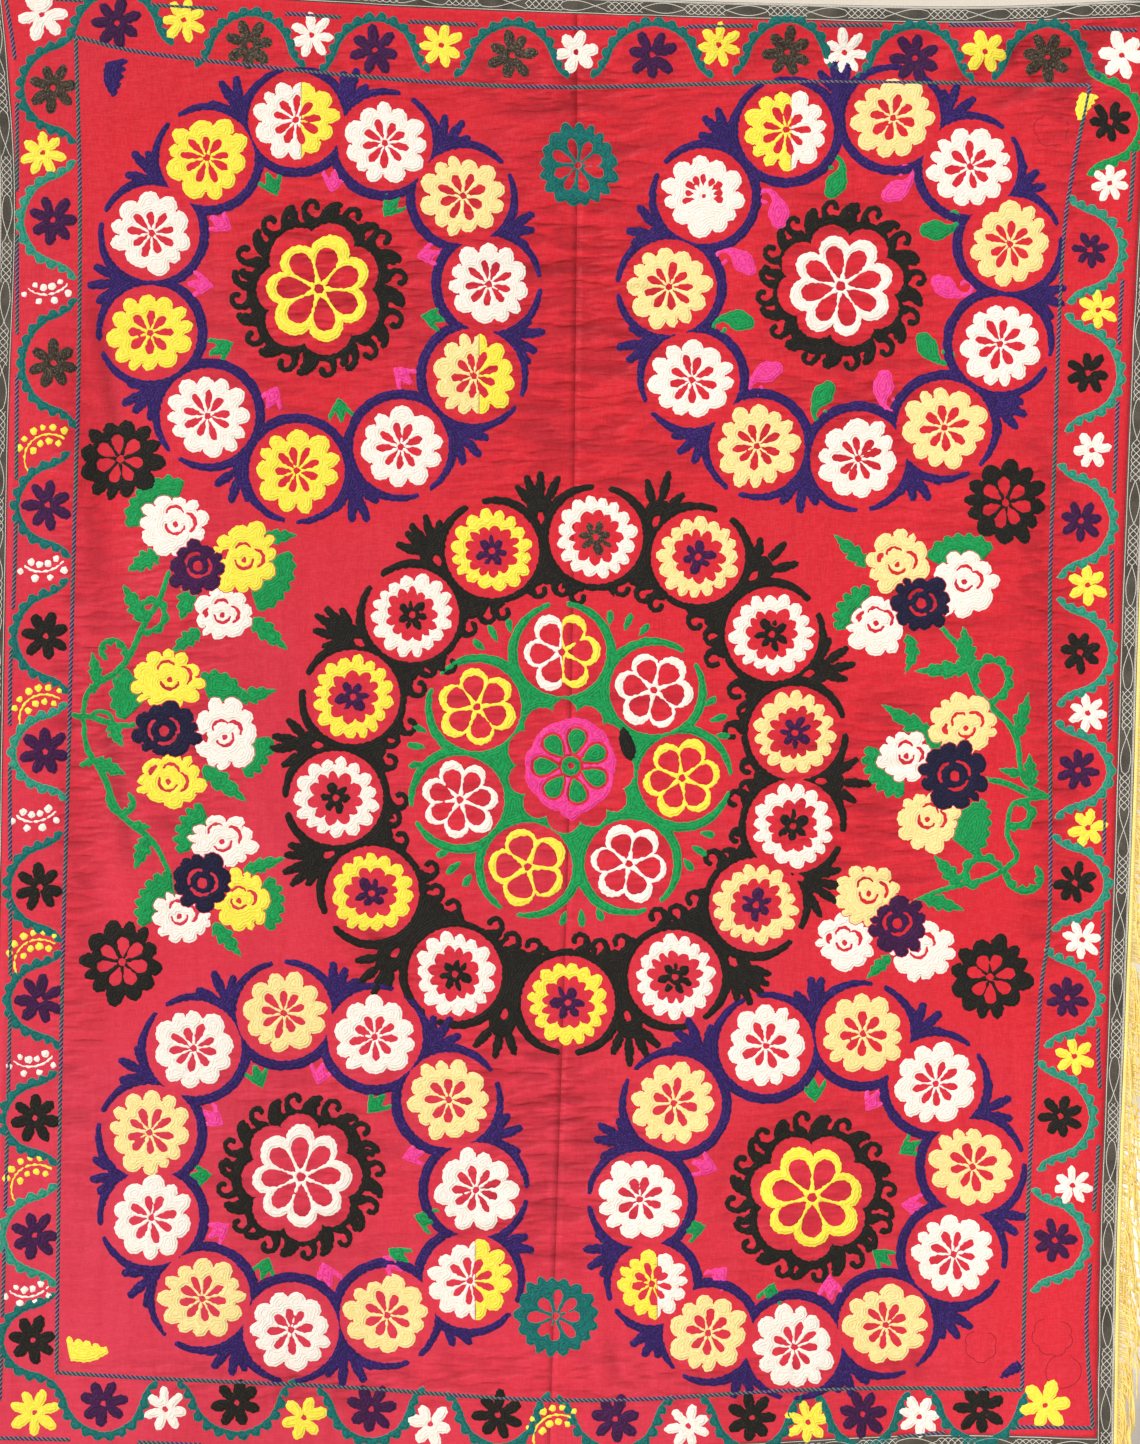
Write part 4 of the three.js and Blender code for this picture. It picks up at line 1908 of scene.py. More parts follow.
class Graph:
    """The nodes of one material."""

    def __init__(self, name: str) -> None:
        """Starts a material with an empty graph.

        Args:
            name: the material's name.
        """
        self.material = bpy.data.materials.new(name)
        self.material.use_nodes = True
        self.tree = self.material.node_tree
        self.tree.nodes.clear()

    def node(
        self, kind: str, inputs: dict[Any, Any], settings: dict[str, Any] | None = None, output: int | str = 0
    ) -> Socket:
        """Adds any node.

        Args:
            kind: the node's type.
            inputs: value or link of each input.
            settings: the node's own settings.
            output: which output to return.

        Returns:
            That output, empty for a node without outputs.
        """
        made = self.tree.nodes.new(kind)
        for key, value in (settings or {}).items():
            setattr(made, key, value)
        for key, value in inputs.items():
            if isinstance(value, Socket):
                self.tree.links.new(value.link, made.inputs[key])
            else:
                made.inputs[key].default_value = value
        return Socket(self, made.outputs[output] if len(made.outputs) else None)

    def value(self, name: str) -> Socket:
        """A value kept at the mesh's vertices."""
        return self.node("ShaderNodeAttribute", {}, {"attribute_name": name}, "Fac")

    def places(self) -> Socket:
        """Places on the object, in metres."""
        return self.node("ShaderNodeTexCoord", {}, None, "Object")

    def noise(self, scale: float, detail: float = 2.0, stretch: tuple[float, float, float] = (1, 1, 1)) -> Socket:
        """Soft noise about 0.5, in lumps a metre, with finer octaves and a stretch along each axis."""
        inputs = {"Vector": self.places() * stretch, "Scale": scale, "Detail": detail, "Roughness": 0.55}
        return self.node("ShaderNodeTexNoise", inputs, None, "Fac")

    def blend(self, share: Any, first: Any, second: Any) -> Socket:
        """One colour turning into another."""
        return self.node("ShaderNodeMix", {0: share, 6: first, 7: second}, {"data_type": "RGBA"}, 2)

    def bump(self, height: Socket, strength: float, distance: float) -> Socket:
        """A normal from a height."""
        return self.node("ShaderNodeBump", {"Height": height, "Strength": strength, "Distance": distance})

    def finish(
        self, colour: Any, roughness: Any, normal: Socket | None, sheen: float, glow: float = 0.0
    ) -> bpy.types.Material:
        """Ends the graph in one surface.

        Args:
            colour: base colour.
            roughness: roughness.
            normal: bumped normal.
            sheen: constant soft sheen.
            glow: constant share of its colour that shows without light.

        Returns:
            The material.
        """
        inputs = {"Base Color": colour, "Roughness": roughness, "Sheen Weight": sheen, "Specular IOR Level": 0.25}
        if normal is not None:
            inputs["Normal"] = normal
        if glow:
            inputs |= {"Emission Color": colour, "Emission Strength": glow}
        surface = self.node("ShaderNodeBsdfPrincipled", inputs)
        self.node("ShaderNodeOutputMaterial", {"Surface": surface})
        return self.material


@dataclass(frozen=True)
class ThreadFinish:
    """Chain stitch in one dyed thread."""

    slot: str
    colour: Colour
    deep: Colour
    fleck: Colour
    flecks: float = 0.25
    edge: Colour | None = None
    cloth: Colour = (176, 30, 44)

    def make(self, name: str) -> bpy.types.Material:
        """Contour rows of stitches with painted shade between the rows and loops, worn flecks and an edge row.

        Args:
            name: the material's name.

        Returns:
            The material.
        """
        graph = Graph(name)
        row = graph.value("row")
        tint = graph.value("tint")
        back = graph.value("back")
        grain = graph.noise(400, 1.0)
        loops = graph.noise(240, 1.0)
        fading = graph.noise(14, 2.0)
        rows = (row * 1.6).sine() * 0.5 + 0.5
        # Painted shade: the grooves between stitch rows and loops darken towards the deep colour; the same rows and
        # loops also drive the bump.
        lit = rows * 0.45 + loops.ramp(0.3, 0.7) * 0.55
        colour = graph.blend(lit, linear(self.deep), linear(self.colour))
        colour = graph.blend(grain.ramp(0.55, 0.72) * self.flecks, colour, linear(self.fleck))
        shade = (fading + tint * 0.16).ramp(0.25, 0.85) * 0.3
        colour = graph.blend(shade, colour, linear(self.deep))
        if self.edge is not None:
            rim = (1.0 - row.ramp(0.3, 1.3)) * 0.7
            colour = graph.blend(rim, colour, linear(self.edge))
        bare = back * loops.ramp(0.5, 0.62) * 0.8
        colour = graph.blend(bare, colour, linear(self.cloth))
        height = rows * 0.6 + loops * 0.7 + grain * 0.35
        return graph.finish(colour, 0.72, graph.bump(height, 0.8, 0.0012), 0.1)


# The deep colours serve both the painted shade between stitch rows and the uneven dye.
THREADS = dict(zip(Thread, several(
    ThreadFinish,
    ("ivory_thread", (255, 252, 246), (247, 232, 217), (255, 255, 252), 0.2),
    ("yellow_thread", (255, 248, 92), (246, 222, 58), (255, 252, 150), 0.25),
    ("straw_thread", (255, 240, 172), (244, 216, 134), (255, 250, 210), 0.25),
    ("purple_thread", (52, 24, 112), (26, 8, 60), (92, 62, 146), 0.55),
    ("plum_thread", (72, 18, 82), (42, 6, 46), (112, 52, 110), 0.3),
    ("navy_thread", (28, 22, 66), (10, 8, 30), (58, 60, 104), 0.35),
    ("black_thread", (30, 26, 20), (10, 8, 6), (70, 64, 44), 0.35),
    ("black_thread", (78, 68, 56), (34, 22, 20), (142, 126, 100), 0.7),
    ("green_thread", (12, 168, 88), (4, 122, 62), (70, 196, 120), 0.3, (128, 196, 130)),
    ("teal_thread", (6, 124, 116), (2, 84, 84), (60, 156, 144), 0.3, (120, 164, 146)),
    ("sea_green_thread", (52, 164, 136), (22, 122, 100), (110, 194, 166), 0.3, (168, 200, 172)),
    ("pink_thread", (252, 78, 168), (224, 40, 130), (255, 130, 192), 0.3),
)))


@dataclass(frozen=True)
class CottonFinish:
    """Plain-woven red cotton in uneven tones, with painted shade in its creases and wrinkles."""

    red: Colour = (214, 24, 42)
    deep: Colour = (186, 12, 30)
    lower_left_pink: Colour = (215, 54, 80)
    # Painted shade colour for the creases and the gathered wrinkles.
    hollow: Colour = (122, 4, 24)
    slub: Colour = (246, 104, 114)

    def make(self) -> bpy.types.Material:
        """Weave, slubs, darker streaks and a pinker tone towards the lower left, with painted shade in the creases and
        over the gathered wrinkles.

        Returns:
            The material.
        """
        graph = Graph("red_cotton")
        across = graph.node("ShaderNodeSeparateXYZ", {0: graph.places()}, None, 0)
        up = graph.node("ShaderNodeSeparateXYZ", {0: graph.places()}, None, 2)
        clouds = graph.noise(3.2, 3.0)
        streaks = graph.noise(26, 3.0, (2.4, 1.0, 0.35))
        weft = graph.noise(420, 1.0, (0.22, 1.0, 1.6))
        warp = graph.noise(420, 1.0, (1.6, 1.0, 0.22))
        pinker = (across * -0.35 + up * -0.32 + clouds * 0.9).ramp(0.55, 1.45)
        colour = graph.blend(pinker, linear(self.red), linear(self.lower_left_pink))
        dark = (streaks * 0.7 + clouds * 0.5).ramp(0.45, 0.9) * 0.4
        colour = graph.blend(dark, colour, linear(self.deep))
        threads = (weft + warp).ramp(0.8, 1.25)
        colour = graph.blend(threads * 0.12, colour, linear(self.slub))
        # Painted shade: the cloth darkens in the fine creases, where only shade falls.
        colour = graph.blend(graph.value("hollow") * 0.55, colour, linear(self.hollow))
        gathered = graph.value("gathered")
        swell = graph.noise(34, 2.0, (0.3, 1.0, 1.2)) * gathered
        crush = graph.noise(70, 2.0, (0.6, 1.0, 1.5))
        pulls = graph.noise(72, 1.0, (0.26, 1.0, 1.0)).ramp(0.36, 0.62) * gathered
        # Painted shade over the gathered wrinkles, less dark on their crease ridges.
        colour = graph.blend(gathered * 0.34 - pulls * 0.4, colour, linear(self.hollow))
        height = weft * 0.2 + warp * 0.2 + crush * 0.5 + swell * 3.0 + pulls * 1.7
        return graph.finish(colour, 0.6, graph.bump(height, 0.8, 0.0022), 0.1)


@dataclass(frozen=True)
class LineFinish:
    """A corded line twisted from dark and pale threads."""

    name: str = "twisted_line"
    dark: tuple[Colour, Colour] = ((34, 66, 74), (58, 40, 84))
    pale: tuple[Colour, Colour] = ((120, 128, 122), (140, 118, 132))

    def make(self) -> bpy.types.Material:
        """Slanting stripes of the twisted threads.

        Returns:
            The material.
        """
        graph = Graph(self.name)
        along = graph.value("along")
        side = graph.value("side")
        twist = ((along + side * 1.1) * 0.9).sine() * 0.5 + 0.5
        drift = graph.noise(9, 1.0)
        colour = graph.blend(drift.ramp(0.4, 0.6), *map(linear, self.dark))
        pale = graph.blend(drift.ramp(0.35, 0.65), *map(linear, self.pale))
        colour = graph.blend(twist.ramp(0.45, 0.95), colour, pale)
        return graph.finish(colour, 0.75, graph.bump(twist, 0.6, 0.001), 0.1)


@dataclass(frozen=True)
class TapeFinish:
    """Faded grey-black woven tape."""

    dark: Colour = (62, 58, 51)
    pale: Colour = (100, 94, 85)

    def make(self) -> bpy.types.Material:
        """Fine weave and rubbed patches.

        Returns:
            The material.
        """
        graph = Graph("grey_tape")
        rub = graph.noise(30, 3.0)
        weave = graph.noise(700, 1.0)
        share = rub.ramp(0.3, 0.75) * 0.6 + weave.ramp(0.4, 0.7) * 0.4
        colour = graph.blend(share, linear(self.dark), linear(self.pale))
        return graph.finish(colour, 0.82, graph.bump(weave + rub, 0.4, 0.0008), 0.08)


@dataclass(frozen=True)
class YarnFinish:
    """Soft yarn in one colour, with a twist along it."""

    name: str
    colour: Colour
    deep: Colour
    pitch: float = 5.0
    # Painted glow: share of the colour added as emission.
    glow: float = 0.0

    def make(self) -> bpy.types.Material:
        """Twist lines and uneven dye, and a painted glow: a share of the colour added as emission.

        Returns:
            The material.
        """
        graph = Graph(self.name)
        along = graph.value("along")
        side = graph.value("side")
        twist = ((along + side * 1.4) * (2 * math.pi / self.pitch)).sine() * 0.5 + 0.5
        dye = graph.noise(40, 2.0)
        share = twist.ramp(0.1, 0.7) * 0.4 + dye.ramp(0.3, 0.7) * 0.3 + graph.value("tint") * 0.3 + 0.15
        colour = graph.blend(share, linear(self.deep), linear(self.colour))
        return graph.finish(colour, 0.7, graph.bump(twist, 0.5, 0.0008), 0.15, self.glow)


@dataclass(frozen=True)
class PlainFinish:
    """A faintly mottled plain surface for the room."""

    name: str
    colour: Colour
    mottle: Colour

    def make(self) -> bpy.types.Material:
        """Two near tones in soft clouds.

        Returns:
            The material.
        """
        graph = Graph(self.name)
        share = graph.noise(0.5, 2.0).ramp(0.3, 0.75)
        colour = graph.blend(share, linear(self.colour), linear(self.mottle))
        return graph.finish(colour, 0.85, graph.bump(graph.noise(60, 3.0), 0.12, 0.002), 0.0)


@dataclass
class GroundCloth:
    """The two red panels, sewn together at the middle."""

    drape: Drape
    thickness: float = CLOTH_THICKNESS
    cut_width: float = 0.862
    across: float = 850.0
    down: float = 2180.0
    seam_dip: float = 0.08
    areas: dict[str, float] = field(default_factory=dict)

    def build(self, material: bpy.types.Material) -> list[bpy.types.Object]:
        """Makes the left and the right panel."""
        starts = {"left": 0.0, "right": 0.5}
        return [self.panel(f"cloth_{side}", f"panel_{side}", start, material) for side, start in starts.items()]

    def panel(self, name: str, node: str, start: float, material: bpy.types.Material) -> bpy.types.Object:
        """Makes one panel.

        Args:
            name: the piece's name.
            node: the solid it stands for.
            start: share of the width where it starts.
            material: its finish.

        Returns:
            The panel.
        """
        columns, rows = round(self.across / CLOTH_CELL_ACROSS), round(self.down / CLOTH_CELL_DOWN)
        share = start + 0.5 * np.linspace(0, 1, columns + 1)[None]
        share = np.clip(share, 0, 0.4999999) if start == 0 else np.maximum(share, 0.5)
        points = self.drape.place(share, np.linspace(0, 1, rows + 1)[:, None], TAPE_WIDTH, TAPE_WIDTH)
        half = np.full(points.shape[:2], self.thickness / 2)
        half[:, -1 if start == 0 else 0] -= self.seam_dip
        shape = Shape()
        slab(shape, self.drape, points, half, half)
        # Masks for the painted crease and wrinkle shade; the gathering also drives the bump.
        shape.values["hollow"] = [np.tile(self.drape.hollow(points).ravel(), 2)]
        shape.values["gathered"] = [np.tile(self.drape.gathered(points).ravel(), 2)]
        made = shape.build(name, material, "red_cotton")
        self.areas[name] = grid_area(points)
        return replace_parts(made, node)


def grid_area(points: Points) -> float:
    """Area of a grid of chart points, in square metres.

    Args:
        points: the grid, x and y last.

    Returns:
        The area.
    """
    down = points[1:, :-1] - points[:-1, :-1]
    across = points[:-1, 1:] - points[:-1, :-1]
    return float(np.abs(down[..., 0] * across[..., 1] - down[..., 1] * across[..., 0]).sum()) * MM * MM


def slab(shape: Shape, drape: Drape, points: Points, front: Points | float, rear: Points | float) -> None:
    """Adds a closed thin sheet over a grid of chart points.

    Args:
        shape: gets the faces.
        drape: the folds to lie on.
        points: the grid, rows running down and columns to the right.
        front: how far the face lies in front of the middle layer.
        rear: how far the back lies behind it.
    """
    rows, columns = points.shape[:2]
    face = drape.lay(points, np.broadcast_to(front, (rows, columns))).reshape(-1, 3)
    rear_face = drape.lay(points, -np.broadcast_to(rear, (rows, columns))).reshape(-1, 3)
    index = np.arange(rows * columns).reshape(rows, columns)
    quads = np.stack((index[:-1, :-1], index[1:, :-1], index[1:, 1:], index[:-1, 1:]), axis=-1).reshape(-1, 4)
    behind = rows * columns
    rim = np.concatenate((index[:-1, 0], index[-1, :-1], index[:0:-1, -1], index[0, :0:-1]))
    after = np.roll(rim, -1)
    wall = np.stack((rim, rim + behind, after + behind, after), axis=-1)
    back = np.repeat((0.0, 1.0), behind)
    shape.add(np.vstack((face, rear_face)), [quads, quads[:, ::-1] + behind, wall], back=back)


@dataclass(frozen=True)
class Edge:
    """One edge of the cloth: far is 0 for the left or the top and 1 for the right or the foot."""

    name: str
    far: float
    upright: bool


EDGES = several(Edge, ("left", 0.0, True), ("right", 1.0, True), ("top", 0.0, False), ("foot", 1.0, False))


@dataclass
class Binding:
    """The tape round the four edges and its white machine stitching."""

    drape: Drape
    width: float = TAPE_WIDTH
    cell: float = 8.0
    lines: int = 7
    round_off: float = 0.7
    across: float = 1720.0
    down: float = 2180.0
    sewn_across: float = 1760.0
    sewn_down: float = 2190.0
    sewing_step: float = 4.5
    edge_rows: tuple[float, ...] = (1.6, 3.2, TAPE_WIDTH - 1.6)
    edge_thread: tuple[float, float] = (1.5, 0.7)
    thread: tuple[float, float] = (1.4, 0.75)
    wave: float = 7.6
    mood: float = 62.0
    close_wave: float = 21.0
    open_wave: float = 66.0
    shortest: int = 5

    def build(self, tape: bpy.types.Material, white: bpy.types.Material) -> list[bpy.types.Object]:
        """Makes the four tapes and the stitching.

        Args:
            tape: the tape's finish.
            white: the stitching's finish.

        Returns:
            The pieces.
        """
        made = []
        stitching = Shape()
        for edge in EDGES:
            shape = Shape()
            points = self.grid(edge)
            rounded = TAPE_THICKNESS / 2 - self.round_off * np.linspace(-1, 1, self.lines) ** 6
            forward = rounded[None] if edge.upright else rounded[:, None]
            slab(shape, self.drape, points, np.broadcast_to(forward, points.shape[:2]), TAPE_THICKNESS / 2)
            piece = shape.build(f"tape_{edge.name}", tape, "grey_tape")
            made.append(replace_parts(piece, f"binding_{edge.name}"))
            self.sew(stitching, edge)
        made.append(stitching.build("tape_stitching", white, "white_stitching"))
        return made

    def grid(self, edge: Edge) -> Points:
        """Chart points over one tape.

        Args:
            edge: the cloth's edge it covers.

        Returns:
            The grid, rows running down and columns to the right.
        """
        distances = np.linspace(0, self.width + TAPE_LAP, self.lines)
        count = round((self.down if edge.upright else self.across) / self.cell)
        run = np.linspace(0, 1, count + 1)
        lines = [self.line(edge, distance, run) for distance in distances]
        if edge.far:
            lines = lines[::-1]
        return np.stack(lines, axis=1 if edge.upright else 0)

    def line(self, edge: Edge, distance: Points | float, run: Points) -> Points:
        """A line along one tape.

        Args:
            edge: the cloth's edge it covers.
            distance: distance inside the edge, one or one a place.
            run: shares of the way along.

        Returns:
            Chart points.
        """
        fixed = np.full(run.shape, edge.far)
        if edge.upright:
            return self.drape.place(fixed, run, distance, 0.0)
        x = self.drape.place(run, fixed, self.width - TAPE_LAP, 0.0)[:, 0]
        level = through(END_LINES, edge.name, x) + (distance if edge.far else -distance)
        return np.stack((x, level), axis=1)

    def sew(self, shape: Shape, edge: Edge) -> None:
        """Adds one tape's white stitching: edge rows and crossing waves in two moods.

        Args:
            shape: gets the faces.
            edge: the cloth's edge the tape covers.
        """
        length = self.sewn_down if edge.upright else self.sewn_across
        far = np.arange(0, length, self.sewing_step)
        run = far / length
        rng = np.random.default_rng(int(2 * edge.far + edge.upright))
        wobble = np.interp(far, np.linspace(0, length, 40), rng.normal(0, 0.6, 40))
        close = (far + rng.uniform(0, 120)) % (2 * self.mood) < self.mood
        rate = np.where(close, math.pi / self.close_wave, math.pi / self.open_wave)
        phase = np.cumsum(rate * self.sewing_step)
        base = TAPE_THICKNESS / 2 - 0.25
        for distance in self.edge_rows:
            path = self.line(edge, distance + 0.5 * wobble, run)
            ribbon(shape, self.drape, path, *self.edge_thread, base - 0.3, 2)
        closed = stretches(close, np.flatnonzero(close & ~np.roll(close, 1)), self.shortest)
        for shift, parts in ((0.0, [slice(None)]), (1.0, [slice(None)]), (0.5, closed), (1.5, closed)):
            wave = self.width / 2 + self.wave * np.sin(phase + shift * math.pi) + wobble
            path = self.line(edge, wave, run)
            for part in parts:
                ribbon(shape, self.drape, path[part], *self.thread, base, 2)


@dataclass
class Fringe:
    """Yarn fringe: a wrapped header with strands hanging from it."""

    drape: Drape
    pitch: float = 3.6
    strand: float = 2.9
    header: float = 3.2
    across: float = 1715.0
    down: float = 2215.0
    side_hang: float = 66.0
    foot_hang: float = 62.0
    spread: float = 44.0

    def build(self, material: bpy.types.Material) -> list[bpy.types.Object]:
        """Makes the fringes of both sides and of the foot.

        Args:
            material: their finish.

        Returns:
            The three fringes.
        """
        made = []
        for name in ("left", "right", "foot"):
            shape = Shape()
            roots = self.roots(name)
            self.add_header(shape, roots)
            self.add_strands(shape, roots, name)
            piece = shape.build(f"yarn_{name}", material, "fringe_yarn")
            made.append(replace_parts(piece, f"fringe_{name}"))
        return made

    def roots(self, name: str) -> Points:
        """Chart points along one header, a pitch apart.

        Args:
            name: which fringe it is.

        Returns:
            The points.
        """
        if name == "foot":
            run = np.linspace(0, 1, round(self.across / self.pitch))
            x = self.drape.place(run, np.ones(run.shape), 0.0, 0.0)[:, 0]
            return np.stack((x, through(END_LINES, "foot", x) + HEADER_INSET), axis=1)
        run = np.linspace(0, 1, round(self.down / self.pitch))
        side = np.full(run.shape, 0.0 if name == "left" else 1.0)
        return self.drape.place(side, run, HEADER_INSET, 0.0)

    def add_header(self, shape: Shape, roots: Points) -> None:
        """Adds the wrapped header as a lumpy cord.

        Args:
            shape: gets the faces.
            roots: chart points along it.
        """
        path = spaced(roots, 2.4)
        middle = self.drape.lay(path, 0.0) / MM
        turn = np.arange(7) / 7 * 2 * math.pi
        far = lengths(path)
        lump = 1 + 0.16 * np.sin(far[:, None] * 2 * math.pi / 4.8 + turn[None])
        tube(shape, middle, self.header * lump, far)

    def add_strands(self, shape: Shape, roots: Points, name: str) -> None:
        """Adds the hanging strands.

        Args:
            shape: gets the faces.
            roots: chart points to hang them from.
            name: which fringe it is.
        """
        rng = np.random.default_rng(len(name) * 17 + 3)
        outward = {"left": -1.0, "right": 1.0, "foot": 0.0}[name]
        share = np.linspace(0, 1, 8)
        starts = self.drape.lay(roots, 0.0) / MM
        sway = np.interp(np.arange(len(roots)), np.arange(0, len(roots) + 9, 9), rng.normal(0, 1, len(roots) // 9 + 2))
        bunched = np.interp(roots[:, 1], (-2130, -1990), (0.5, 1.0)) if outward > 0 else np.ones(len(roots))
        for k, start in enumerate(starts):
            length = rng.normal(1.0, 0.06)
            aside = rng.uniform(0.14, 1.0) * (self.spread + 4 * sway[k]) * bunched[k]
            out = outward * aside + (1 - abs(outward)) * (6 * sway[k] + rng.normal(0, 3))
            down = (self.side_hang if outward else self.foot_hang) * length
            curve = np.stack(
                (
                    out * (1 - (1 - share) ** 4) + rng.normal(0, 1.5) * np.sin(5 * share) * share,
                    rng.normal(0, 2.4) * np.sin(math.pi * share) + 1.2 * sway[k] * share + rng.normal(0, 2.0) * share,
                    -down * share**1.5,
                ),
                axis=1,
            )
            path = start + curve
            radius = np.broadcast_to((self.strand * np.linspace(1.0, 0.8, 8) / 2)[:, None], (8, 4))
            tube(shape, path, radius, lengths(path), rng.uniform(-1, 1))


def tube(shape: Shape, path: Points, radii: Points, far: Points, tint: float = 0.0) -> None:
    """Adds a closed round tube.

    Args:
        shape: gets the faces.
        path: its middle, in millimetres in the part's frame.
        radii: radius for each ring and each corner.
        far: distance along it.
        tint: how light its dye is, from -1 to 1.
    """
    rings, corners = radii.shape
    ahead = unit(np.gradient(path, axis=0))
    side = unit(np.cross(np.array((0.0, 1.0, 0.0)), ahead))
    up = np.cross(ahead, side)
    turn = np.arange(corners) / corners * 2 * math.pi
    offsets = np.cos(turn)[None, :, None] * side[:, None] + np.sin(turn)[None, :, None] * up[:, None]
    points = (path[:, None] + radii[..., None] * offsets).reshape(-1, 3) * MM
    index = np.arange(rings * corners).reshape(rings, corners)
    after = np.roll(index, -1, axis=1)
    quads = np.stack((index[:-1], after[:-1], after[1:], index[1:]), axis=-1).reshape(-1, 4)
    caps = np.stack([(index[e, 0], index[e, k], index[e, k + 1]) for e in (0, -1) for k in range(1, corners - 1)])
    shape.add(points, [quads, caps], along=np.repeat(far, corners), side=np.tile(turn, rings), tint=tint)


@dataclass(frozen=True)
class Studio:
    """Camera, soft lights, pale floor and backdrop."""

    distance: float = 7.0
    sensor: float = 24.0
    floor_z: float = -2.36
    wall_y: float = 9.0
    wide: float = 40.0
    wall_top: float = 6.0
    sky: tuple[float, float, float, float] = (1.0, 0.98, 0.95, 1.0)
    sky_strength: float = 0.25
    sun_from: tuple[float, float, float] = (-3.4, -3.6, 3.4)
    sun_strength: float = 2.85
    sun_angle: float = 14.0
    aim: tuple[float, float, float] = (0.0, 0.0, -1.1)

    def build(self) -> None:
        """Sets the studio up round the hung cloth."""
        scene = bpy.context.scene
        middle = spot(PHOTO_WIDE_PX / 2, PHOTO_HIGH_PX / 2) * MM
        high = PHOTO_HIGH_PX * PHOTO_MM_PER_PX * MM
        camera = bpy.data.cameras.new("camera")
        camera.sensor_fit = "VERTICAL"
        camera.sensor_height = self.sensor
        camera.lens = self.sensor * self.distance / high
        camera.dof.use_dof = False
        eye = placed("camera", camera)
        eye.location = (middle[0], -self.distance, middle[1])
        eye.rotation_euler = (math.pi / 2, 0, 0)
        scene.camera = eye
        scene.view_settings.view_transform = "Standard"
        world = bpy.data.worlds.new("studio")
        world.use_nodes = True
        world.node_tree.nodes["Background"].inputs[0].default_value = self.sky
        world.node_tree.nodes["Background"].inputs[1].default_value = self.sky_strength
        scene.world = world
        self.daylight()
        self.lamp("fill", (3.8, -5.0, -0.6), 70, 2.6)
        self.lamp("back fill", (2.4, 6.5, 2.2), 270, 4.0)
        self.room()

    def daylight(self) -> None:
        """Adds an even soft light from one direction."""
        light = bpy.data.lights.new("daylight", "SUN")
        light.energy = self.sun_strength
        light.angle = math.radians(self.sun_angle)
        lamp = placed("daylight", light)
        lamp.rotation_euler = (-Vector(self.sun_from)).to_track_quat("-Z", "Y").to_euler()

    def lamp(self, name: str, place: tuple[float, float, float], watts: float, size: float) -> None:
        """Adds a soft square lamp aimed at the cloth.

        Args:
            name: its name.
            place: where it stands.
            watts: its power.
            size: its side.
        """
        light = bpy.data.lights.new(name, "AREA")
        light.energy = watts
        light.size = size
        lamp = placed(name, light)
        lamp.location = place
        lamp.visible_camera = False
        aim = Vector(self.aim) - Vector(place)
        lamp.rotation_euler = aim.to_track_quat("-Z", "Y").to_euler()

    def room(self) -> None:
        """Adds the floor and the backdrop."""
        floor = PlainFinish("floor", (222, 216, 206), (217, 211, 200)).make()
        wall = PlainFinish("wall", (229, 221, 209), (225, 216, 203)).make()
        x, y, z = self.wide, self.wall_y, self.floor_z
        sheets = {
            "floor": (floor, [(-x, -x, z), (x, -x, z), (x, y, z), (-x, y, z)]),
            "wall": (wall, [(-x, y, z), (x, y, z), (x, y, self.wall_top), (-x, y, self.wall_top)]),
        }
        for name, (material, corners) in sheets.items():
            mesh = bpy.data.meshes.new(name)
            mesh.from_pydata(corners, [], [(0, 1, 2, 3)])
            mesh.materials.append(material)
            placed(name, mesh)


CORNER_ROUNDELS = (
    CornerRoundel(
        (319, 289),
        blooms(
            (207, 158, "Y"), (296, 120, "IY"), (385, 143, "I"), (463, 196, "S"), (489, 284, "I"), (474, 376, "SY"),
            (401, 447, "I"), (297, 471, "Y"), (208, 416, "I"), (150, 333, "Y"), (152, 233, "I"),
        ),
        Thread.YELLOW,
        7,
        15,
        "G R G R G R G R G R R",
    ),
    CornerRoundel(
        (841, 286),
        blooms(
            (786, 130, "YI"), (893, 118, "S"), (970, 167, "I"), (1010, 244, "S"), (1000, 344, "I"), (944, 428, "S"),
            (858, 459, "I"), (757, 446, "S"), (692, 380, "I"), (669, 287, "S"), (704, 196, "I"),
        ),
        Thread.IVORY,
        8,
        -12,
        "G R G R G R G R G R R",
        False,
        rosette_size=0.96,
        odd=10,
    ),
    CornerRoundel(
        (301, 1177),
        blooms(
            (194, 1048, "I"), (284, 1013, "S"), (375, 1037, "I"), (449, 1100, "S"), (476, 1190, "I"),
            (470, 1281, "IY"), (387, 1316, "S"), (291, 1330, "I"), (203, 1298, "S"), (152, 1217, "I"),
            (150, 1132, "S"),
        ),
        Thread.IVORY,
        8,
        -2,
        "G R G R G RG R G R G R",
        rosette_size=0.94,
    ),
    CornerRoundel(
        (812, 1197),
        blooms(
            (766, 1046, "I"), (863, 1034, "S"), (936, 1084, "I"), (973, 1167, "S"), (954, 1255, "I"),
            (886, 1326, "S"), (794, 1347, "I"), (708, 1332, "S", 0.95), (652, 1283, "YI", 0.86), (640, 1199, "I"),
            (674, 1103, "S"),
        ),
        Thread.YELLOW,
        7,
        26,
        "G R G R G R G R G R -",
        rosette_size=0.96,
    ),
)

CENTRE_ROUNDEL = CentreRoundel(
    (571, 766),
    blooms(
        (596, 537, "IO"), (698, 557, "SM"), (772, 634, "IK"), (795, 733, "SM"), (793, 826, "IK"), (756, 905, "SM"),
        (675, 977, "IK"), (568, 1003, "YM"), (455, 974, "IK"), (372, 893, "YM"), (336, 798, "IK"), (353, 697, "YM"),
        (412, 615, "IK"), (492, 551, "YM"),
    ),
    blooms(
        (562, 652, "IY"), (654, 690, "I"), (682, 778, "Y"), (629, 864, "I"), (528, 867, "Y"), (460, 800, "I"),
        (477, 707, "Y"),
    ),
    (6, 6, 6, 6, 5, 7, 6),
)

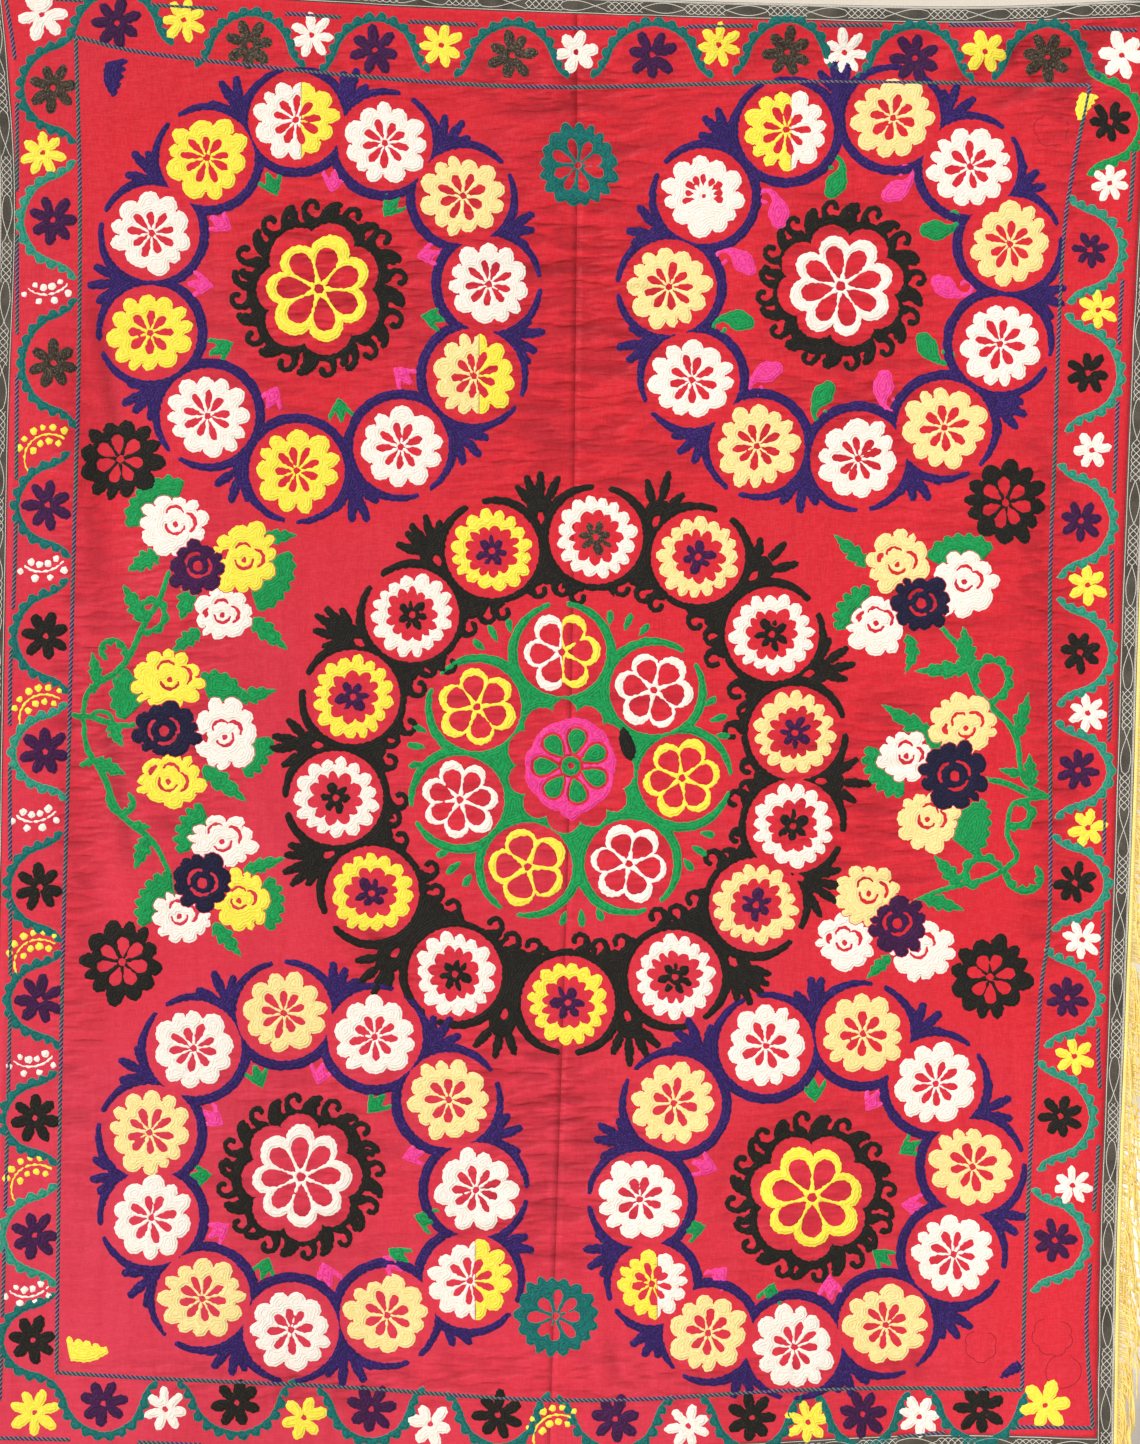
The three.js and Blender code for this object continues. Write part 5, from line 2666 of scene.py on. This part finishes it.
LEFT_POSIES = Posies(
    several(
        PosyFlower,
        (173, 526, "I", 55, 0.86), (197, 568, "M", 42), (244, 558, "Y", 50, 1.12), (225, 614, "I", 45, 0.92),
        (167, 680, "Y", 54, 0.84), (167, 730, "N", 50, 0.94), (226, 734, "I", 50, 1.15), (171, 781, "Y", 53, 0.77),
        (223, 843, "I", 54, 0.74), (202, 881, "N", 47, 0.96), (242, 901, "Y", 43, 1.1), (183, 917, "I", 46, 0.88),
    ),
    several(
        Leaf,
        ((159, 553), (127, 571), 32), ((263, 538), (298, 535), 24), ((252, 619), (288, 650), 30),
        ((200, 630), (171, 653), 27), ((141, 619), (118, 581), 29), ((95, 677), (89, 646), 22),
        ((94, 695), (106, 686), 15, 2), ((109, 729), (122, 753), 24), ((238, 699), (277, 690), 26),
        ((203, 767), (248, 802), 31), ((92, 763), (125, 777), 26), ((89, 764), (72, 770), 14, 2),
        ((140, 813), (160, 817), 15, 2), ((146, 838), (133, 871), 27), ((244, 871), (287, 857), 23),
        ((214, 923), (242, 957), 27), ((193, 586), (181, 621), 33),
    ),
    several(
        Stem,
        (((73, 715), (84, 717), (95, 685), (137, 648), (152, 610), (169, 573)), 11, 7, 2),
        (((73, 715), (85, 720), (90, 756), (112, 797), (146, 836), (169, 871)), 11, -6, 2),
        (((73, 715), (104, 722), (142, 724)), 10, 4, 1),
    ),
    several(
        Curl,
        ((141, 632), 100, 104, -300, 7, -1), ((128, 660), 5, 90, -280, 7, 1), ((89, 715), 45, 51, 160, 8),
        ((101, 792), 200, 98, -280, 7, 1),
    ),
    several(
        Collar,
        ((173, 526), 268, 375, 68), ((244, 565), 72, 164, 70), ((150, 696), 227, 322, 52), ((212, 706), 336, 432, 46),
        ((228, 738), 88, 156, 63), ((223, 843), 256, 333, 66), ((242, 903), 46, 137, 57), ((180, 912), 248, 349, 60),
    ),
)

RIGHT_POSIES = Posies(
    several(
        PosyFlower,
        (899, 563, "S", 50), (964, 584, "I", 48, 1.12), (921, 604, "N", 45), (877, 626, "I", 46), (963, 725, "S", 51),
        (905, 757, "I", 41), (953, 775, "N", 52), (928, 821, "S", 48), (868, 896, "S", 50), (899, 926, "M", 44),
        (846, 942, "I", 44), (921, 951, "I", 49),
    ),
    several(
        Leaf,
        ((868, 566), (833, 534), 26), ((908, 634), (904, 675), 22, 4, 9), ((972, 664), (967, 624), 30),
        ((970, 668), (915, 671), 26), ((1018, 737), (1031, 691), 25), ((1038, 778), (1037, 744), 26),
        ((1019, 775), (995, 769), 15, 2), ((932, 737), (881, 704), 28), ((960, 884), (934, 853), 24),
        ((928, 907), (969, 920), 25), ((890, 956), (866, 979), 22),
    ),
    several(
        Stem,
        (((1048, 797), (1028, 780), (1014, 745), (994, 708), (966, 665), (941, 627)), 10.5, 8, 2),
        (((1048, 797), (1012, 787), (985, 779)), 11, 3, 1),
        (((1048, 797), (1012, 802), (1009, 832), (1017, 860), (962, 884), (907, 905)), 9.5, 5, 2),
    ),
    several(
        Curl,
        ((995, 694), 78, 140, -310, 9, -1), ((1008, 822), 122, 70, -250, 9, -1), ((1002, 871), -30, 99, -250, 9, -1),
        ((1005, 873), 172, 109, -240, 9, 1),
    ),
    several(
        Collar,
        ((964, 584), 305, 400, 68), ((877, 626), 263, 350, 60), ((905, 757), 182, 288, 57), ((928, 821), 66, 128, 86),
        ((925, 760), 0, 70, 32),
    ),
)

BORDER = (
    BorderSide(
        270,
        blooms(
            (53, 88, "O"), (43, 153, "Y"), (53, 220, "M"), (47, 293, "i"), (54, 363, "O"), (43, 445, "y"),
            (48, 505, "M"), (43, 570, "i"), (46, 636, "K"), (38, 705, "y"), (45, 752, "M"), (35, 820, "i"),
            (40, 887, "K"), (33, 950, "y"), (40, 1000, "M"), (32, 1065, "i"), (35, 1118, "K"), (30, 1175, "y"),
            (35, 1235, "M"), (28, 1295, "i"), (33, 1340, "K"),
        ),
        Thread.TEAL,
        {2: Thread.SEA, 10: Thread.SEA, 18: Thread.SEA},
    ),
    BorderSide(
        0,
        blooms(
            (117, 23, "M"), (184, 20, "Y"), (250, 45, "O"), (312, 35, "I"), (375, 50, "M"), (441, 45, "Y"),
            (512, 55, "O"), (576, 52, "I"), (652, 55, "M"), (719, 45, "Y"), (787, 52, "O"), (845, 52, "I"),
            (915, 58, "M"), (985, 52, "Y"), (1047, 57, "O"),
        ),
        Thread.TEAL,
    ),
    BorderSide(
        90,
        blooms(
            (1110, 122, "K"), (1110, 183, "I"), (1090, 250, "M", 0.84), (1098, 310, "Y"), (1088, 373, "K"),
            (1092, 450, "I"), (1081, 521, "M"), (1088, 585, "Y"), (1080, 652, "K"), (1088, 713, "I"),
            (1078, 770, "M"), (1088, 828, "Y"), (1075, 883, "K"), (1082, 940, "I"), (1067, 998, "M"),
            (1074, 1056, "Y"), (1060, 1116, "K"), (1072, 1185, "I"), (1054, 1240, "M"),
        ),
        Thread.SEA,
        {0: Thread.GREEN},
        30.0,
    ),
    BorderSide(
        180,
        blooms(
            (104, 1402, "M"), (166, 1408, "I"), (237, 1402, "K"), (304, 1418, "Y"), (371, 1410, "M"),
            (430, 1425, "I"), (498, 1415, "K"), (552, 1425, "y"), (615, 1418, "M"), (688, 1425, "I"),
            (752, 1417, "K"), (808, 1422, "Y"), (863, 1415, "M"), (920, 1418, "I"), (980, 1410, "K"),
        ),
        Thread.TEAL,
    ),
)

CORNER_FLOWERS = blooms((42, 15, "I"), (35, 1412, "Y"), (1122, 55, "I"), (1045, 1405, "Y"))
CORNER_FLOWER = BorderFlower(38.0)

ROSETTES = blooms((120, 459, "K"), (122, 962, "K"), (1005, 503, "K"), (990, 977, "K"))
ROSETTE = DropFlower(
    radius=64, lobes=12, notch=14, drops=7, drop_start=8, drop_end=38, drop_width=17, eye=5, round_off=0.85
)
TEAL_ROSETTES = blooms((578, 165, "T"), (556, 1316, "T"))
TEAL_ROSETTE = DropFlower(
    radius=63, lobes=17, notch=9, drops=8, drop_start=8, drop_end=39, drop_width=14.5, eye=5, round_off=1.0
)

SCRAPS = several(
    LeafScrap,
    ((105, 62), (112, 97), "P", 34), ((1082, 92), (1077, 120), "Y", 26), ((70, 1360), (110, 1352), "Y", 36),
    ((1018, 1360), (999, 1378), "P", 18),
)

LINES = (
    Line(((76, 37), (80, 200), (78, 400), (70, 700), (62, 1000), (57, 1372))),
    Line(((1090, 85), (1068, 200), (1060, 300), (1055, 450), (1050, 600), (1050, 900), (1040, 1000), (1028, 1200),
          (1022, 1390))),
    Line(((76, 37), (160, 55), (390, 79), (560, 87), (780, 82), (870, 82), (1090, 85)), (), False),
    Line(((57, 1372), (300, 1385), (560, 1400), (800, 1390), (1022, 1390)), (), False),
    Line(
        ((6, 0), (15, 59), (17, 112), (17, 400), (15, 560), (10, 700), (10, 1000), (3, 1300), (0, 1400)),
        ((60, 102), (192, 234), (335, 375), (480, 520), (610, 648), (726, 764), (862, 898), (976, 1012),
         (1094, 1130), (1212, 1246), (1318, 1352)),
    ),
    Line(
        ((1137, 100), (1131, 200), (1121, 300), (1117, 420), (1112, 560), (1111, 700), (1105, 800), (1104, 900),
         (1098, 1030), (1099, 1120), (1089, 1270), (1086, 1330), (1092, 1427)),
        ((100, 150), (222, 278), (345, 401), (493, 549), (624, 680), (742, 798), (855, 911), (970, 1026),
         (1088, 1144), (1212, 1262)),
    ),
    Line(
        ((6, -4), (200, 8), (420, 22), (577, 28), (780, 26), (1000, 26), (1137, 30)),
        ((84, 150), (218, 284), (342, 408), (478, 546), (618, 686), (752, 820), (882, 948), (1014, 1080)),
        False,
    ),
    Line(
        ((0, 1438), (110, 1440), (300, 1447), (560, 1450), (800, 1446), (1008, 1428), (1092, 1427)),
        ((70, 138), (203, 271), (337, 405), (464, 532), (581, 649), (718, 786), (829, 897), (946, 1014)),
        False,
    ),
)

# Drawn flowers that were never worked: across, down, radius and lobes.
GUIDES = ((1051, 130, 26.0, 5), (981, 1346, 25.0, 6), (1052, 1336, 30.0, 7), (1063, 1370, 27.0, 1))


class Embroidery:
    """All the needlework on the two panels."""

    def __init__(self, drape: Drape) -> None:
        """Starts with bare cloth."""
        self.drape = drape
        self.work = Needlework(drape)

    def build(self) -> list[bpy.types.Object]:
        """Works every motif.

        Returns:
            One piece for each thread, and the corded lines.
        """
        for motif in (*CORNER_ROUNDELS, CENTRE_ROUNDEL, LEFT_POSIES, RIGHT_POSIES, *BORDER):
            motif.stitch(self.work)
        flowers = ((CORNER_FLOWER, CORNER_FLOWERS), (ROSETTE, ROSETTES), (TEAL_ROSETTE, TEAL_ROSETTES))
        for flower, places in flowers:
            for bloom in places:
                flower.stitch(self.work, bloom.at, bloom.thread)
        for scrap in SCRAPS:
            scrap.stitch(self.work)
        made = []
        for thread, shape in self.work.stitch().items():
            finish = THREADS[thread]
            made.append(shape.build(f"stitch_{thread.value}", finish.make(f"thread_{thread.value}"), finish.slot))
        made.append(self.lines())
        made.append(self.guides())
        return made

    def lines(self) -> bpy.types.Object:
        """The corded lines of the border, on the face with a flat trace on the back.

        Returns:
            The piece.
        """
        shape = Shape()
        for line in LINES:
            for path in line.paths(LINE_STEP):
                ribbon(shape, self.drape, path, *LINE_CORD, CLOTH_THICKNESS / 2 - 0.3)
                ribbon(shape, self.drape, path[::-2], *LINE_BACK, -CLOTH_THICKNESS / 2 + 0.1, 2)
        return shape.build("stitch_lines", LineFinish().make(), "navy_thread")

    def guides(self) -> bpy.types.Object:
        """The drawn lines that were never worked.

        Returns:
            The piece.
        """
        shape = Shape()
        for across_px, down_px, radius, lobes in GUIDES:
            path = scallop(spot(across_px, down_px), radius, lobes, 0.16 * radius, 30, 0.6, 0.06)
            kept = spaced(path[: round(0.86 * len(path))], OUTLINE_STEP)
            ribbon(shape, self.drape, kept, *DRAWN_CORD, CLOTH_THICKNESS / 2 + 0.06, 2)
        finish = YarnFinish("drawn_line", (158, 20, 40), (134, 12, 30)).make()
        return shape.build("drawn_lines", finish, "red_cotton")


def main() -> None:
    """Builds the pieces in order."""
    logging.basicConfig(level=logging.INFO, format="%(message)s")
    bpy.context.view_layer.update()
    drape = Drape()
    cloth = GroundCloth(drape)
    panels = cloth.build(CottonFinish().make())
    threads = Embroidery(drape).build()
    white = YarnFinish("white_stitching", (238, 234, 224), (206, 200, 188)).make()
    tapes = Binding(drape).build(TapeFinish().make(), white)
    # The fringe yarn has a painted glow, emission that brightens it.
    yarns = Fringe(drape).build(YarnFinish("fringe_yarn", (255, 236, 150), (242, 206, 108), 5.0, 0.11).make())
    right = [piece for piece in (*tapes, *yarns) if piece.name.endswith("_right")]
    left = [piece for piece in (*threads, *tapes, *yarns) if piece not in right]
    Studio().build()


if __name__ == "__main__":
    main()
